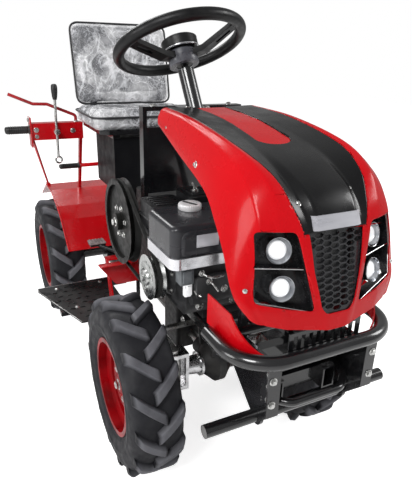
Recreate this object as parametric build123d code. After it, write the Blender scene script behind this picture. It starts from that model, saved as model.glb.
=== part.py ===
from build123d import *
import os
from math import atan2, cos, degrees, hypot, radians, sin, sqrt, tan

# A small open orchard tractor: a ladder frame on four lugged wheels of one size, a steered and driven
# front axle, a one-cylinder engine mounted crosswise on the right, a belt to a tall gearbox, a red
# wedge-shaped bonnet over it, a bucket seat, flat fenders, footboards and a set of hand levers.
# Millimetres. +X is forward, +Y is the tractor's left, +Z is up. The origin is on the ground, under
# the middle of the overall length and width. Every piece is modelled at its place.

# Driving dimensions of the running gear
FRONT_AXLE_X = 400
WHEELBASE = 1040
TRACK = 540
TYRE_R = 255
TYRE_W = 148
LUG_H = 18
LUG_COUNT = 14
LUG_ANGLE = 42
LUG_W = 20
RIM_R = 134
RIM_W = 116
RIM_T = 5
RIM_LIP = 8
RIM_WELL = 20
HUB_R = 30
HUB_BORE_R = 15
FIT = 0.3
RUN_GAP = 6

# Driving dimensions of the steering
KINGPIN_Y = 140
KINGPIN_R = 10
KNUCKLE_R = 24
KNUCKLE_H = 100
YOKE_T = 12
STEER_ARM_L = 100
STEER_ARM_T = 10
BALL_PIN_R = 6
TIE_ROD_R = 9
WHEEL_HUB_X = 198
WHEEL_HUB_Y = -36
WHEEL_HUB_Z = 1165
COLUMN_TILT = 25.4
COLUMN_LEAN = 5
HANDWHEEL_R = 187
HANDWHEEL_TUBE_R = 15.5
SPOKE_TURN = 105

# Driving dimensions of the frame and the bodywork
RAIL_Y = 72.5
RAIL_W = 35
RAIL_H = 55
RAIL_TOP = 484
RAIL_WALL = 4
RAIL_FRONT_X = 830
RAIL_REAR_X = -760
SHEET = 3
BONNET_T = 4

# Places that follow from them
REAR_AXLE_X = FRONT_AXLE_X - WHEELBASE
WHEEL_Y = TRACK / 2
RAIL_BOTTOM = RAIL_TOP - RAIL_H
RAIL_OUT = RAIL_Y + RAIL_W / 2
RAIL_IN = RAIL_Y - RAIL_W / 2
AXLE_Z = TYRE_R

nodes = {}


# Small helpers that place plain forms by their limits

def block(x0, x1, y0, y1, z0, z1):
    return Pos((x0 + x1) / 2, (y0 + y1) / 2, (z0 + z1) / 2) * Box(x1 - x0, y1 - y0, z1 - z0)


def round_block(x0, x1, y0, y1, z0, z1, r, axis):
    body = block(x0, x1, y0, y1, z0, z1)
    return fillet(body.edges().filter_by(axis), r)


def rod(a, b, r):
    # a round bar from point a to point b
    a, b = Vector(*a), Vector(*b)
    return Plane(origin=a, z_dir=b - a) * Cylinder(r, (b - a).length, align=(Align.CENTER, Align.CENTER, Align.MIN))


def rod_x(x0, x1, y, z, r):
    return rod((x0, y, z), (x1, y, z), r)


def rod_y(y0, y1, x, z, r):
    return rod((x, y0, z), (x, y1, z), r)


def rod_z(z0, z1, x, y, r):
    return rod((x, y, z0), (x, y, z1), r)


def plate_y(outline, y0, y1):
    # an outline of (x, z) points, extruded from y0 to y1
    face = make_face(Polyline(*[(x, y0, z) for x, z in outline], close=True))
    return extrude(face, amount=y1 - y0, dir=(0, 1, 0))


def plate_x(outline, x0, x1, corner=0):
    # an outline of (y, z) points, its corners rounded if asked, extruded from x0 to x1
    face = make_face(Polyline(*[(x0, y, z) for y, z in outline], close=True))
    if corner:
        face = fillet(face.vertices(), corner)
    return extrude(face, amount=x1 - x0, dir=(1, 0, 0))


def plate_z(outline, z0, z1):
    # an outline of (x, y) points, extruded from z0 to z1
    face = make_face(Polyline(*[(x, y, z0) for x, y in outline], close=True))
    return extrude(face, amount=z1 - z0, dir=(0, 0, 1))


def turned_y(profile, x=0, y=0, z=0):
    # a profile of (along Y, radius) points, revolved about the Y axis and moved to its place
    face = make_face(Polyline(*[(0, v, r) for v, r in profile], close=True))
    return Pos(x, y, z) * revolve(face, axis=Axis.Y)


def bent_tube(points, r, bend_r):
    # a round tube along corner points, with its bends rounded
    path = FilletPolyline(*points, radius=bend_r)
    start = Plane(origin=path @ 0, z_dir=path % 0)
    return sweep(start * Circle(r), path=path)


def other_side(shape):
    return mirror(shape, about=Plane.XZ)


def both_sides(shape):
    return shape + other_side(shape)


# Wheel, modelled for the left side about the origin: +Y is outward

def tyre():
    tread_r = TYRE_R - LUG_H
    half = TYRE_W / 2
    outer_half = [(half * 0.76, tread_r), (half, tread_r - 42), (RIM_W / 2 - 2, RIM_R)]
    inner_half = [(-v, r) for v, r in reversed(outer_half)]
    carcass = turned_y(outer_half + inner_half)
    lug_l = half * 1.45
    lug_reach = lug_l / 2 * sin(radians(LUG_ANGLE)) + LUG_W / 2 * cos(radians(LUG_ANGLE))
    lug_top = sqrt(TYRE_R**2 - lug_reach**2)
    lug_root = tread_r - 38
    # the pattern is turned so that one lug's corner is the tyre's lowest point
    phase = 90 - degrees(atan2(lug_reach, lug_top))
    lugs = []
    for side in (1, -1):
        for i in range(LUG_COUNT):
            turn = phase + 360 / LUG_COUNT * (i + (0.5 if side < 0 else 0))
            bar = Pos(0, side * half * 0.365, (lug_top + lug_root) / 2)
            bar = bar * Rot(0, 0, side * LUG_ANGLE) * Box(LUG_W, lug_l, lug_top - lug_root)
            lugs.append(Rot(0, turn, 0) * bar)
    return carcass + lugs


def rim():
    half = RIM_W / 2
    seat_r = RIM_R - FIT
    well_r = RIM_R - RIM_WELL
    outer_half = [(half * 0.5, well_r), (half * 0.65, seat_r), (half + 1, seat_r), (half + 1, RIM_R + RIM_LIP),
                  (half + RIM_T, RIM_R + RIM_LIP), (half + RIM_T, seat_r - RIM_T)]
    inner_half = [(-v, r) for v, r in reversed(outer_half)]
    well = [(-half * 0.65, seat_r - RIM_T), (-half * 0.5, well_r - RIM_T),
            (half * 0.5, well_r - RIM_T), (half * 0.65, seat_r - RIM_T)]
    barrel = turned_y(inner_half + outer_half + list(reversed(well)))
    disc_y = half * 0.3
    disc = turned_y([
        (disc_y, HUB_R - 2), (disc_y + 14, 70), (disc_y, well_r - RIM_T / 2),
        (disc_y - RIM_T, well_r - RIM_T / 2), (disc_y + 14 - RIM_T, 70), (disc_y - RIM_T, HUB_R - 2)])
    hub = turned_y([
        (-40, HUB_BORE_R), (-40, HUB_R), (disc_y + 16, HUB_R), (disc_y + 22, HUB_R - 8),
        (disc_y + 22, 0), (disc_y + 16, 0), (disc_y + 16, HUB_BORE_R)])
    holes = [Rot(0, a, 0) * rod_y(disc_y - 20, disc_y + 30, 0, 92, 11) for a in range(0, 360, 60)]
    return barrel + (disc - holes) + hub


WHEELS = {
    # name: (x, side)
    "front_right": (FRONT_AXLE_X, -1),
    "front_left": (FRONT_AXLE_X, 1),
    "rear_right": (REAR_AXLE_X, -1),
    "rear_left": (REAR_AXLE_X, 1),
}
left_tyre = tyre()
left_rim = rim()
for name, (wheel_x, side) in WHEELS.items():
    for kind, shape in (("tyre", left_tyre), ("rim", left_rim)):
        if side < 0:
            shape = other_side(shape)
        nodes[f"{kind}_{name}"] = Pos(wheel_x, side * WHEEL_Y, AXLE_Z) * shape

HUB_INNER_Y = WHEEL_Y - 40
STUB_END_Y = WHEEL_Y + RIM_W / 2 * 0.3 + 16 - 4
STUB_R = HUB_BORE_R - FIT


# Front axle: centre housing, flanged ends with the yokes, and the bracket below the frame

YOKE_Y = KINGPIN_Y - KNUCKLE_R - 8
ARM_TOP = AXLE_Z + KNUCKLE_H / 2 + 1 + YOKE_T
housing = turned_y([(-50, 0), (-50, 31), (-30, 48), (-12, 66), (12, 66), (30, 48), (50, 31), (50, 0)],
                   FRONT_AXLE_X, 0, AXLE_Z)
housing += rod_x(FRONT_AXLE_X - 95, FRONT_AXLE_X, 0, AXLE_Z, 30)
bracket = plate_x([(-46, RAIL_BOTTOM), (-30, AXLE_Z + 40), (30, AXLE_Z + 40), (46, RAIL_BOTTOM)],
                  FRONT_AXLE_X - 45, FRONT_AXLE_X - 35)
bracket += Pos(80, 0, 0) * bracket
bracket += block(FRONT_AXLE_X - 45, FRONT_AXLE_X + 45, -RAIL_IN, RAIL_IN, RAIL_BOTTOM, RAIL_BOTTOM + 10)
bracket += rod_x(FRONT_AXLE_X - 60, FRONT_AXLE_X + 60, 0, AXLE_Z + 60, 12)
nodes["front_axle_housing"] = housing + bracket

flange = turned_y([(50, 0), (50, 38), (58, 38), (58, 31), (YOKE_Y, 24), (YOKE_Y, 0)], FRONT_AXLE_X, 0, AXLE_Z)
yoke = block(FRONT_AXLE_X - 26, FRONT_AXLE_X + 26, YOKE_Y - 10, YOKE_Y, AXLE_Z * 2 - ARM_TOP, ARM_TOP)
for z0 in (ARM_TOP - YOKE_T, 2 * AXLE_Z - ARM_TOP):
    yoke += block(FRONT_AXLE_X - 26, FRONT_AXLE_X + 26, YOKE_Y - 10, KINGPIN_Y, z0, z0 + YOKE_T)
    yoke += rod_z(z0, z0 + YOKE_T, FRONT_AXLE_X, KINGPIN_Y, 26)
yoke -= rod_z(AXLE_Z - 100, AXLE_Z + 100, FRONT_AXLE_X, KINGPIN_Y, KINGPIN_R + FIT)
nodes["front_axle_ends"] = both_sides(flange + yoke)


# Steering knuckles with their stub axles and arms, and the tie rod

ARM_Z = ARM_TOP + 2
knuckle = rod_z(AXLE_Z - KNUCKLE_H / 2, AXLE_Z + KNUCKLE_H / 2, FRONT_AXLE_X, KINGPIN_Y, KNUCKLE_R)
knuckle += rod_z(2 * AXLE_Z - ARM_TOP - 4, ARM_Z + STEER_ARM_T, FRONT_AXLE_X, KINGPIN_Y, KINGPIN_R)
knuckle += turned_y([
    (KINGPIN_Y, 0), (KINGPIN_Y, 22), (KINGPIN_Y + 34, 44), (HUB_INNER_Y - RUN_GAP, 44),
    (HUB_INNER_Y - RUN_GAP, STUB_R), (STUB_END_Y, STUB_R), (STUB_END_Y, 0)], FRONT_AXLE_X, 0, AXLE_Z)
arm_end_x = FRONT_AXLE_X - STEER_ARM_L
knuckle += block(arm_end_x, FRONT_AXLE_X, KINGPIN_Y - 14, KINGPIN_Y + 14, ARM_Z, ARM_Z + STEER_ARM_T)
knuckle += rod_z(ARM_Z, ARM_Z + STEER_ARM_T, arm_end_x, KINGPIN_Y, 14)
knuckle += rod_z(ARM_Z, ARM_Z + STEER_ARM_T, FRONT_AXLE_X, KINGPIN_Y, 18)
knuckle += rod_z(ARM_Z, ARM_Z + STEER_ARM_T + 22, arm_end_x, KINGPIN_Y, BALL_PIN_R)
nodes["knuckle_left"] = knuckle
nodes["knuckle_right"] = other_side(knuckle)

rod_z0 = ARM_Z + STEER_ARM_T + 0.5
tie_rod = rod_y(-KINGPIN_Y + 8, KINGPIN_Y - 8, arm_end_x, rod_z0 + 10, TIE_ROD_R)
for side, play in ((-1, FIT), (1, 1.5)):
    tie_rod += rod_z(rod_z0, rod_z0 + 20, arm_end_x, side * KINGPIN_Y, 15)
    tie_rod -= rod_z(rod_z0 - 5, rod_z0 + 30, arm_end_x, side * KINGPIN_Y, BALL_PIN_R + play)
nodes["tie_rod"] = tie_rod


# Main frame: two box rails and their cross members

rails = block(RAIL_REAR_X, RAIL_FRONT_X, RAIL_IN, RAIL_OUT, RAIL_BOTTOM, RAIL_TOP)
rails -= block(RAIL_REAR_X - 1, RAIL_FRONT_X + 1, RAIL_IN + RAIL_WALL, RAIL_OUT - RAIL_WALL,
               RAIL_BOTTOM + RAIL_WALL, RAIL_TOP - RAIL_WALL)
frame = both_sides(rails)
for x in (-700, -330, 20, 680, 790):
    frame += block(x - 15, x + 15, -RAIL_IN, RAIL_IN, RAIL_BOTTOM + 8, RAIL_TOP - 8)
ENGINE_PLATE_T = 6
frame += block(330, 560, -112, 70, RAIL_TOP, RAIL_TOP + ENGINE_PLATE_T)
nodes["main_frame"] = frame


# Bumper: the upper hoop, the lower tube, and the two bolted plates that carry them

BUMPER_X = 896
BUMPER_Z = 592
BUMPER_HALF = 202
BUMPER_R = 16
HOOP_LENGTH = 161
HOOP_REAR_X = BUMPER_X - HOOP_LENGTH
HOOP_BEND = 100
HOOP_BAR_Z = BUMPER_Z - 12
LOW_TUBE_X = 822
LOW_TUBE_Z = 407
LOW_TUBE_HALF = 248
LOW_TUBE_R = 15
PLATE_Y = 116
PLATE_T = 8
hoop = bent_tube([(HOOP_REAR_X, -BUMPER_HALF, BUMPER_Z), (BUMPER_X, -BUMPER_HALF, BUMPER_Z),
                  (BUMPER_X, BUMPER_HALF, BUMPER_Z), (HOOP_REAR_X, BUMPER_HALF, BUMPER_Z)], BUMPER_R, HOOP_BEND)
hoop += rod_y(-BUMPER_HALF, BUMPER_HALF, HOOP_REAR_X + 10, HOOP_BAR_Z, 12)
nodes["bumper_hoop"] = hoop
nodes["bumper_low_tube"] = rod_y(-LOW_TUBE_HALF, LOW_TUBE_HALF, LOW_TUBE_X, LOW_TUBE_Z, LOW_TUBE_R)
EAR_TOP = BUMPER_Z - BUMPER_R - FIT
EAR_FRONT_X = max(BUMPER_X - 4, LOW_TUBE_X + 40)
EAR_REAR_X = HOOP_REAR_X - 45
EAR_FRONT_Z = LOW_TUBE_Z + 50
HOLDER_R = LOW_TUBE_R + 7
ear = plate_y([(EAR_FRONT_X, EAR_TOP), (EAR_FRONT_X, EAR_FRONT_Z), (LOW_TUBE_X + HOLDER_R, LOW_TUBE_Z),
               (LOW_TUBE_X - HOLDER_R, LOW_TUBE_Z), (EAR_REAR_X, RAIL_TOP + 8), (EAR_REAR_X, RAIL_TOP + 36),
               (HOOP_REAR_X - 7, EAR_TOP - 9)], PLATE_Y - PLATE_T / 2, PLATE_Y + PLATE_T / 2)
ear += rod_y(PLATE_Y - PLATE_T / 2, PLATE_Y + PLATE_T / 2, LOW_TUBE_X, LOW_TUBE_Z, HOLDER_R)
ear += block(EAR_FRONT_X - 5, EAR_FRONT_X, PLATE_Y + PLATE_T / 2, PLATE_Y + 26, EAR_FRONT_Z, EAR_TOP)
ear -= rod_y(0, 200, LOW_TUBE_X, LOW_TUBE_Z, LOW_TUBE_R)
brackets = both_sides(ear)
brackets += block(770, 800, -PLATE_Y, PLATE_Y, RAIL_TOP, RAIL_TOP + 10)
bar_x, bar_z = EAR_FRONT_X - 14, EAR_FRONT_Z + 6
brackets += bent_tube([(bar_x - 45, -PLATE_Y, bar_z), (bar_x, -PLATE_Y + 50, bar_z), (bar_x, PLATE_Y - 50, bar_z),
                       (bar_x - 45, PLATE_Y, bar_z)], 9, 30)
nodes["bumper_brackets"] = brackets


# Engine: crankcase, finned cylinder and head leaning back, shroud, tank, and what is bolted to them

CRANK_X = 420
CRANK_Z = 590
ENGINE_Z0 = RAIL_TOP + ENGINE_PLATE_T
TANK_X0, TANK_X1 = 413, 585
TANK_Y0, TANK_Y1 = -220, 30
TANK_Z0, TANK_Z1 = 705, 781
SUMP_Z = ENGINE_Z0 + 30
case = block(345, 520, -105, 40, ENGINE_Z0, SUMP_Z)
case += round_block(352, 545, -165, 40, SUMP_Z, 650, 22, Axis.Y)
cylinder = Pos(345, -60, 610) * Rot(0, -65, 0) * Pos(0, 0, 6) * Box(110, 110, 92)
for i in range(5):
    fin = Pos(345, -60, 610) * Rot(0, -65, 0) * Pos(0, 0, -20 + i * 16)
    cylinder += fin * Box(130, 130, 5)
cover = turned_y([(-180, 0), (-180, 40), (-165, 58), (-165, 0)], CRANK_X, 0, CRANK_Z)
carburettor = block(545, 575, -150, -60, 584, 640) + rod_y(-160, -50, 560, 576, 14)
engine = case + cylinder + cover + carburettor + block(430, 560, -190, 20, 640, 677)
nodes["engine_block"] = engine
nodes["tank_band"] = round_block(TANK_X0 - 4, TANK_X1 + 6, TANK_Y0 - 4, TANK_Y1 + 4, 677, TANK_Z0, 24, Axis.Z)
tank = round_block(TANK_X0, TANK_X1, TANK_Y0, TANK_Y1, TANK_Z0, TANK_Z1, 22, Axis.Z)
tank = fillet(tank.faces().sort_by(Axis.Z)[-1].edges(), 12)
nodes["fuel_tank"] = tank
CAP_X, CAP_Y, CAP_R = 460, -120, 31
nodes["fuel_cap"] = rod_z(TANK_Z1, TANK_Z1 + 16, CAP_X, CAP_Y, CAP_R)
nodes["muffler"] = round_block(300, 404, -199, -100, 689, 775, 14, Axis.Z)
nodes["air_cleaner"] = round_block(292, 404, -92, -15, 689, 790, 18, Axis.Z)
nodes["recoil_starter"] = turned_y([(40, 0), (40, 92), (72, 92), (98, 60), (98, 0)], CRANK_X + 20, 0, CRANK_Z)

PULLEY_Y0, PULLEY_Y1 = -224, -192
pulley = turned_y([(PULLEY_Y0, 0), (PULLEY_Y0, 62), (PULLEY_Y0 + 16, 50), (PULLEY_Y1, 62), (PULLEY_Y1, 0)],
                  CRANK_X, 0, CRANK_Z)
nodes["engine_pulley"] = pulley + rod_y(PULLEY_Y1, -180, CRANK_X, CRANK_Z, 16)
DRIVEN_X, DRIVEN_Z, DRIVEN_R = 165, 665, 130
big = turned_y([
    (PULLEY_Y0, 112), (PULLEY_Y0, DRIVEN_R), (PULLEY_Y0 + 16, DRIVEN_R - 12), (PULLEY_Y1, DRIVEN_R),
    (PULLEY_Y1, 112)], DRIVEN_X, 0, DRIVEN_Z)
big += rod_y(PULLEY_Y0 + 10, PULLEY_Y1 - 10, DRIVEN_X, DRIVEN_Z, 114) + rod_y(PULLEY_Y0 - 6, -139, DRIVEN_X, DRIVEN_Z, 26)
nodes["driven_pulley"] = big

# The belt lies in the grooves of both pulleys
BELT_W = 9
BELT_T = 6
BELT_R = 54
driven_belt_r = BELT_R + DRIVEN_R - 62
belt_loops = []
for grow in (BELT_T, 0):
    small = Pos(CRANK_X, CRANK_Z) * Circle(BELT_R + grow)
    large = Pos(DRIVEN_X, DRIVEN_Z) * Circle(driven_belt_r + grow)
    belt_loops.append(make_hull(small.edges() + large.edges()))
belt = extrude(Plane.XZ * (belt_loops[0] - belt_loops[1]), BELT_W)
nodes["drive_belt"] = Pos(0, PULLEY_Y0 + 16 + BELT_W / 2, 0) * belt


# Gearbox: a tall case on the frame with a drop case between the rails, and the shafts to both axles

gear_top = 745
GEAR_Y0, GEAR_Y1 = -139, 85
case = round_block(82, 248, GEAR_Y0, GEAR_Y1, RAIL_TOP, gear_top, 24, Axis.Z)
case += round_block(100, 230, -50, 50, 205, RAIL_TOP, 20, Axis.Z)
nodes["gearbox"] = case
shafts = rod_x(230, FRONT_AXLE_X - 95, 0, AXLE_Z, 14) + rod_x(REAR_AXLE_X + 110, 100, 0, AXLE_Z, 14)
nodes["drive_shafts"] = shafts
diff = turned_y([(-60, 0), (-60, 60), (-25, 88), (25, 88), (60, 60), (60, 0)], REAR_AXLE_X, 0, AXLE_Z)
diff += rod_x(REAR_AXLE_X + 110, REAR_AXLE_X, 0, AXLE_Z, 34)
tube = turned_y([
    (50, 0), (50, 36), (165, 36), (165, 56), (HUB_INNER_Y - RUN_GAP, 56), (HUB_INNER_Y - RUN_GAP, STUB_R),
    (STUB_END_Y, STUB_R), (STUB_END_Y, 0)], REAR_AXLE_X, 0, AXLE_Z)
hanger = block(REAR_AXLE_X - 40, REAR_AXLE_X + 40, RAIL_IN, RAIL_IN + 10, AXLE_Z, RAIL_BOTTOM)
nodes["rear_axle"] = diff + both_sides(tube + hanger)


# Steering column and hand wheel on one tilted axis

level_part = cos(radians(COLUMN_TILT))
column_axis = Vector(-sin(radians(COLUMN_TILT)), -sin(radians(COLUMN_LEAN)) * level_part,
                     cos(radians(COLUMN_LEAN)) * level_part)
hub_point = Vector(WHEEL_HUB_X, WHEEL_HUB_Y, WHEEL_HUB_Z)
wheel_plane = Plane(origin=hub_point, x_dir=column_axis.cross(Vector(0, 1, 0)), z_dir=column_axis)


def on_column(back):
    p = hub_point - column_axis * back
    return (p.X, p.Y, p.Z)


COLUMN_R = 22
COLUMN_SHAFT_R = 10
STEER_BOX_X0, STEER_BOX_X1 = 262, 312
column = rod(on_column(320), on_column(70), COLUMN_R) + rod(on_column(75), on_column(12), COLUMN_SHAFT_R)
box_top = ((STEER_BOX_X0 + STEER_BOX_X1) / 2, RAIL_Y, RAIL_TOP + 50)
column += rod(on_column(318), box_top, 9)
column += block(STEER_BOX_X0, STEER_BOX_X1, RAIL_IN, RAIL_OUT, RAIL_TOP, RAIL_TOP + 60)
nodes["steering_column"] = column

# A thick rim round a sunken hub, with three slotted spokes that slope down to it
RING_R = HANDWHEEL_R - HANDWHEEL_TUBE_R
HUB_DEPTH = 57
wheel = wheel_plane * Torus(RING_R, HANDWHEEL_TUBE_R)
wheel += rod(on_column(HUB_DEPTH), on_column(14), 40) + rod(on_column(16), on_column(-12), 50)
wheel -= rod(on_column(HUB_DEPTH + 5), on_column(8), COLUMN_SHAFT_R + FIT)
spoke_side = [(38, -42), (66, -42), (RING_R - 6, -6), (RING_R - 6, 6), (66, -26), (38, -26)]
spoke = plate_y(spoke_side, -17, 17) - Pos(RING_R - 48, 0, 0) * Box(44, 11, 100)
for turn in (0, 120, 240):
    wheel += wheel_plane * Rot(0, 0, SPOKE_TURN + turn) * spoke
nodes["steering_wheel"] = wheel


# Bonnet: a thin shell lofted through slanted sections, split into its panels

BONNET_SECTIONS = [
    # crown x, z; flank edge x, z; half width and drop of hump, channel, ridge, cheek, shoulder; flank half width
    (325, 1014, 325, 972, 44, 0, 60, 0, 128, -2, 137, 0, 146, 6, 151),
    (500, 1003, 485, 928, 44, 0, 62, 0, 129, -6, 139, -7, 150, 0, 164),
    (689, 962, 660, 890, 56, -6, 74, -6, 124, -19, 136, -24, 156, -10, 184),
    (785, 926, 735, 846, 54, -12, 72, -3, 106, -22, 128, -24, 158, -4, 195),
    (840, 893, 785, 800, 50, -12, 68, 2, 92, -6, 120, -4, 158, 14, 201),
    (873, 848, 808, 770, 46, -3, 62, 2, 77, 2, 120, 14, 162, 32, 204),
    (892, 776, 828, 738, 40, 0, 56, 2, 66, 5, 120, 22, 172, 42, 204),
    (906, 704, 843, 712, 30, 0, 42, 2, 50, 5, 120, 20, 168, 38, 197),
    (910, 650, 858, 684, 20, 0, 30, 2, 40, 5, 110, 22, 150, 40, 178),
]


def between(rows, steps):
    # the same rows with more between them, along a smooth curve through each column
    fine = [rows[0]]
    for i in range(len(rows) - 1):
        a, b, c, d = (rows[min(max(i + k, 0), len(rows) - 1)] for k in (-1, 0, 1, 2))
        for u in [(k + 1) / steps for k in range(steps)]:
            fine.append([0.5 * (2 * q + (r - p) * u + (2 * p - 5 * q + 4 * r - s) * u**2 + (3 * q - p - 3 * r + s) * u**3)
                         for p, q, r, s in zip(a, b, c, d)])
    return fine


def inset(points, t):
    # moves an open line of 2-D points to its inner side by t, with mitred corners
    moved = []
    for i, (y, s) in enumerate(points):
        normals = []
        for j in (i - 1, i):
            if 0 <= j < len(points) - 1:
                dy = points[j + 1][0] - points[j][0]
                ds = points[j + 1][1] - points[j][1]
                length = hypot(dy, ds)
                normals.append((-ds / length, dy / length))
        ny = sum(n[0] for n in normals)
        ns = sum(n[1] for n in normals)
        scale = t * len(normals) / max(ny * ny + ns * ns, 1e-9) * (2 if len(normals) == 2 else 1) / len(normals)
        moved.append((y + ny * scale, s + ns * scale))
    return moved


BONNET_ROWS = between(BONNET_SECTIONS, 2)


def bonnet_lines(row, t):
    # the outer line of one section, the same line moved inward by t, and the way into the page's 3-D points
    cx, cz, fx, fz = row[:4]
    depth = hypot(fx - cx, fz - cz)
    half = [(0, row[5])] + list(zip(row[4:14:2], row[5:14:2])) + [(row[14], depth)]
    outer = [(-y, s) for y, s in reversed(half[1:])] + half

    def place(line):
        return [(cx + (fx - cx) / depth * s, y, cz + (fz - cz) / depth * s) for y, s in line]

    return place(outer), place(inset(outer, t))


def bonnet_skin(t):
    # the bonnet's sheet: t thick inward, or outward where t is below zero
    faces = []
    for row in BONNET_ROWS:
        outer, inner = bonnet_lines(row, t)
        faces.append(make_face(Polyline(*(outer + list(reversed(inner))), close=True)))
    return loft(faces, ruled=True)


def bonnet_core(t):
    # the space that lies deeper than t below the bonnet's outer face
    faces = [make_face(Polyline(*bonnet_lines(row, t)[1], close=True)) for row in BONNET_ROWS]
    return loft(faces, ruled=True)


shell = bonnet_skin(BONNET_T)
core = bonnet_core(BONNET_T + FIT)
BONNET_REAR_X, NOSE_X = BONNET_SECTIONS[0][0], BONNET_SECTIONS[5][0]

GRILLE = [(-64, 846), (-56, 775), (-38, 700), (-28, 688), (28, 688), (38, 700), (56, 775), (64, 846)]
LAMP_WINDOW = [(90, 852), (166, 855), (172, 718), (54, 694)]
shell -= plate_x(GRILLE, NOSE_X - 73, NOSE_X + 130, 4)
shell -= both_sides(plate_x(LAMP_WINDOW, NOSE_X - 83, NOSE_X + 130, 7))

# The black panel runs down the middle and narrows to the grille; a red tongue with a round end lies in it
PANEL_LOW_Z = 846
TONGUE_HALF = 45
TONGUE_END_X = 662
CENTRE_PANEL = [(BONNET_REAR_X - 10, 129), (650, 128), (720, 118), (785, 106), (840, 92), (873, 77), (930, 68)]
centre = plate_z(CENTRE_PANEL + [(x, -y) for x, y in reversed(CENTRE_PANEL)], PANEL_LOW_Z, 1100)
tongue = block(BONNET_REAR_X - 10, TONGUE_END_X - 34, -TONGUE_HALF, TONGUE_HALF, PANEL_LOW_Z, 1100)
tongue += Pos(TONGUE_END_X - 34, 0, 0) * (extrude(Pos(0, 0, PANEL_LOW_Z) * Ellipse(34, TONGUE_HALF), 1100 - PANEL_LOW_Z))
nodes["bonnet_shell"] = shell - centre
nodes["bonnet_centre_panel"] = (shell & centre) - tongue
nodes["bonnet_tongue"] = shell & tongue

# Grille: a tilted plate with hexagonal holes, seated behind the opening
GRILLE_TOP = (NOSE_X - 15, 850)
GRILLE_LOW = (NOSE_X + 25, 680)
CELL_X = 19
CELL_Z = 12.5
CELL = [(-11, 0), (-6.2, 4.7), (6.2, 4.7), (11, 0), (6.2, -4.7), (-6.2, -4.7)]
grille_len = hypot(GRILLE_LOW[0] - GRILLE_TOP[0], GRILLE_LOW[1] - GRILLE_TOP[1])
grille_plane = Plane(origin=((GRILLE_TOP[0] + GRILLE_LOW[0]) / 2 + 1.2, 0, (GRILLE_TOP[1] + GRILLE_LOW[1]) / 2),
                     x_dir=(0, 1, 0), z_dir=(GRILLE_TOP[1] - GRILLE_LOW[1], 0, GRILLE_LOW[0] - GRILLE_TOP[0]))
half_l = grille_len / 2
mesh = make_face(Polyline((-68, half_l), (-58, 0), (-40, -half_l + 14), (-30, -half_l),
                          (30, -half_l), (40, -half_l + 14), (58, 0), (68, half_l), close=True))
holes = []
for column in range(-3, 4):
    for row in range(-7, 8):
        cell_x = column * CELL_X
        cell_y = (row + (0.5 if column % 2 else 0)) * CELL_Z
        if abs(cell_x) < 50 + cell_y * 0.16 and abs(cell_y) < half_l - 9:
            holes.append(Pos(cell_x, cell_y) * make_face(Polyline(*CELL, close=True)))
nodes["grille"] = extrude(grille_plane * (mesh - holes), 5) & core

# A bright strip lies on the bonnet's outer face, right above the grille
STRIP_HALF = 57
nodes["nose_strip"] = bonnet_skin(-3) & block(NOSE_X - 60, NOSE_X + 30, -STRIP_HALF, STRIP_HALF, 852, 878)

# Lamp housings and lamps on one slanted plane each side
lamp_plane = Plane(origin=(NOSE_X - 7, 120, 770), x_dir=(-0.27, 0.963, 0), z_dir=(0.94, 0.263, 0.225))
tray = extrude(lamp_plane * make_face(Polyline((-36, 90), (54, 92), (61, -58), (-76, -86), close=True)), -42)
pocket = extrude(lamp_plane * Pos(0, 0, 1) * make_face(
    Polyline((-33, 87), (51, 89), (58, -55), (-71, -82), close=True)), -36)
nodes["lamp_housings"] = both_sides((tray - pocket) & core)
LAMPS = [(1, 46), (-6, -28)]
lamps = []
for lx, ly in LAMPS:
    lamp = lamp_plane * Pos(lx, ly, -35) * Cylinder(24, 30, align=(Align.CENTER, Align.CENTER, Align.MIN))
    lamp += lamp_plane * Pos(lx, ly, -10) * Cylinder(26.5, 6, align=(Align.CENTER, Align.CENTER, Align.MIN))
    lamps += [lamp, other_side(lamp)]
nodes["headlamps"] = Compound(children=lamps)

# Nose skirt: a bent red sheet inside the hoop on each side, cut away towards the front
SKIRT_X = BUMPER_X - BUMPER_R - 0.5
SKIRT_Y = BUMPER_HALF - BUMPER_R - 0.5
SKIRT_REAR_X = 700
SKIRT_H = 72
skirt_z = BUMPER_Z + 2
skirt_line = []
for inset_by in (0, SHEET):
    bend = HOOP_BEND - BUMPER_R - 0.5 - inset_by
    x1, y1 = SKIRT_X - inset_by, SKIRT_Y - inset_by
    corners = [(SKIRT_REAR_X, -y1, 0), (x1, -y1, 0), (x1, y1, 0), (SKIRT_REAR_X, y1, 0)]
    skirt_line.append(FilletPolyline(*corners, radius=bend))
ends = [Line((SKIRT_REAR_X, s * SKIRT_Y, 0), (SKIRT_REAR_X, s * (SKIRT_Y - SHEET), 0)) for s in (-1, 1)]
skirt = Pos(0, 0, skirt_z) * extrude(make_face(skirt_line + ends), SKIRT_H)
cut_from = SKIRT_X - 78
skirt -= plate_y([(cut_from, skirt_z + SKIRT_H + 1), (cut_from, skirt_z + SKIRT_H), (SKIRT_X - 8, skirt_z - 1),
                  (SKIRT_X + 9, skirt_z - 1), (SKIRT_X + 9, skirt_z + SKIRT_H + 1)], -SKIRT_Y - 9, SKIRT_Y + 9)
nodes["nose_skirt"] = skirt

# Nose guard: a black slotted sheet that stands on the hoop below the grille
GUARD_HALF = 92
guard = block(SKIRT_X - SHEET, SKIRT_X, -GUARD_HALF, GUARD_HALF, skirt_z, skirt_z + 46)
for i in range(-4, 5):
    guard -= block(SKIRT_X - 10, SKIRT_X + 10, i * 19 - 5, i * 19 + 5, skirt_z + 8, skirt_z + 38)
nodes["nose_guard"] = guard

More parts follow.
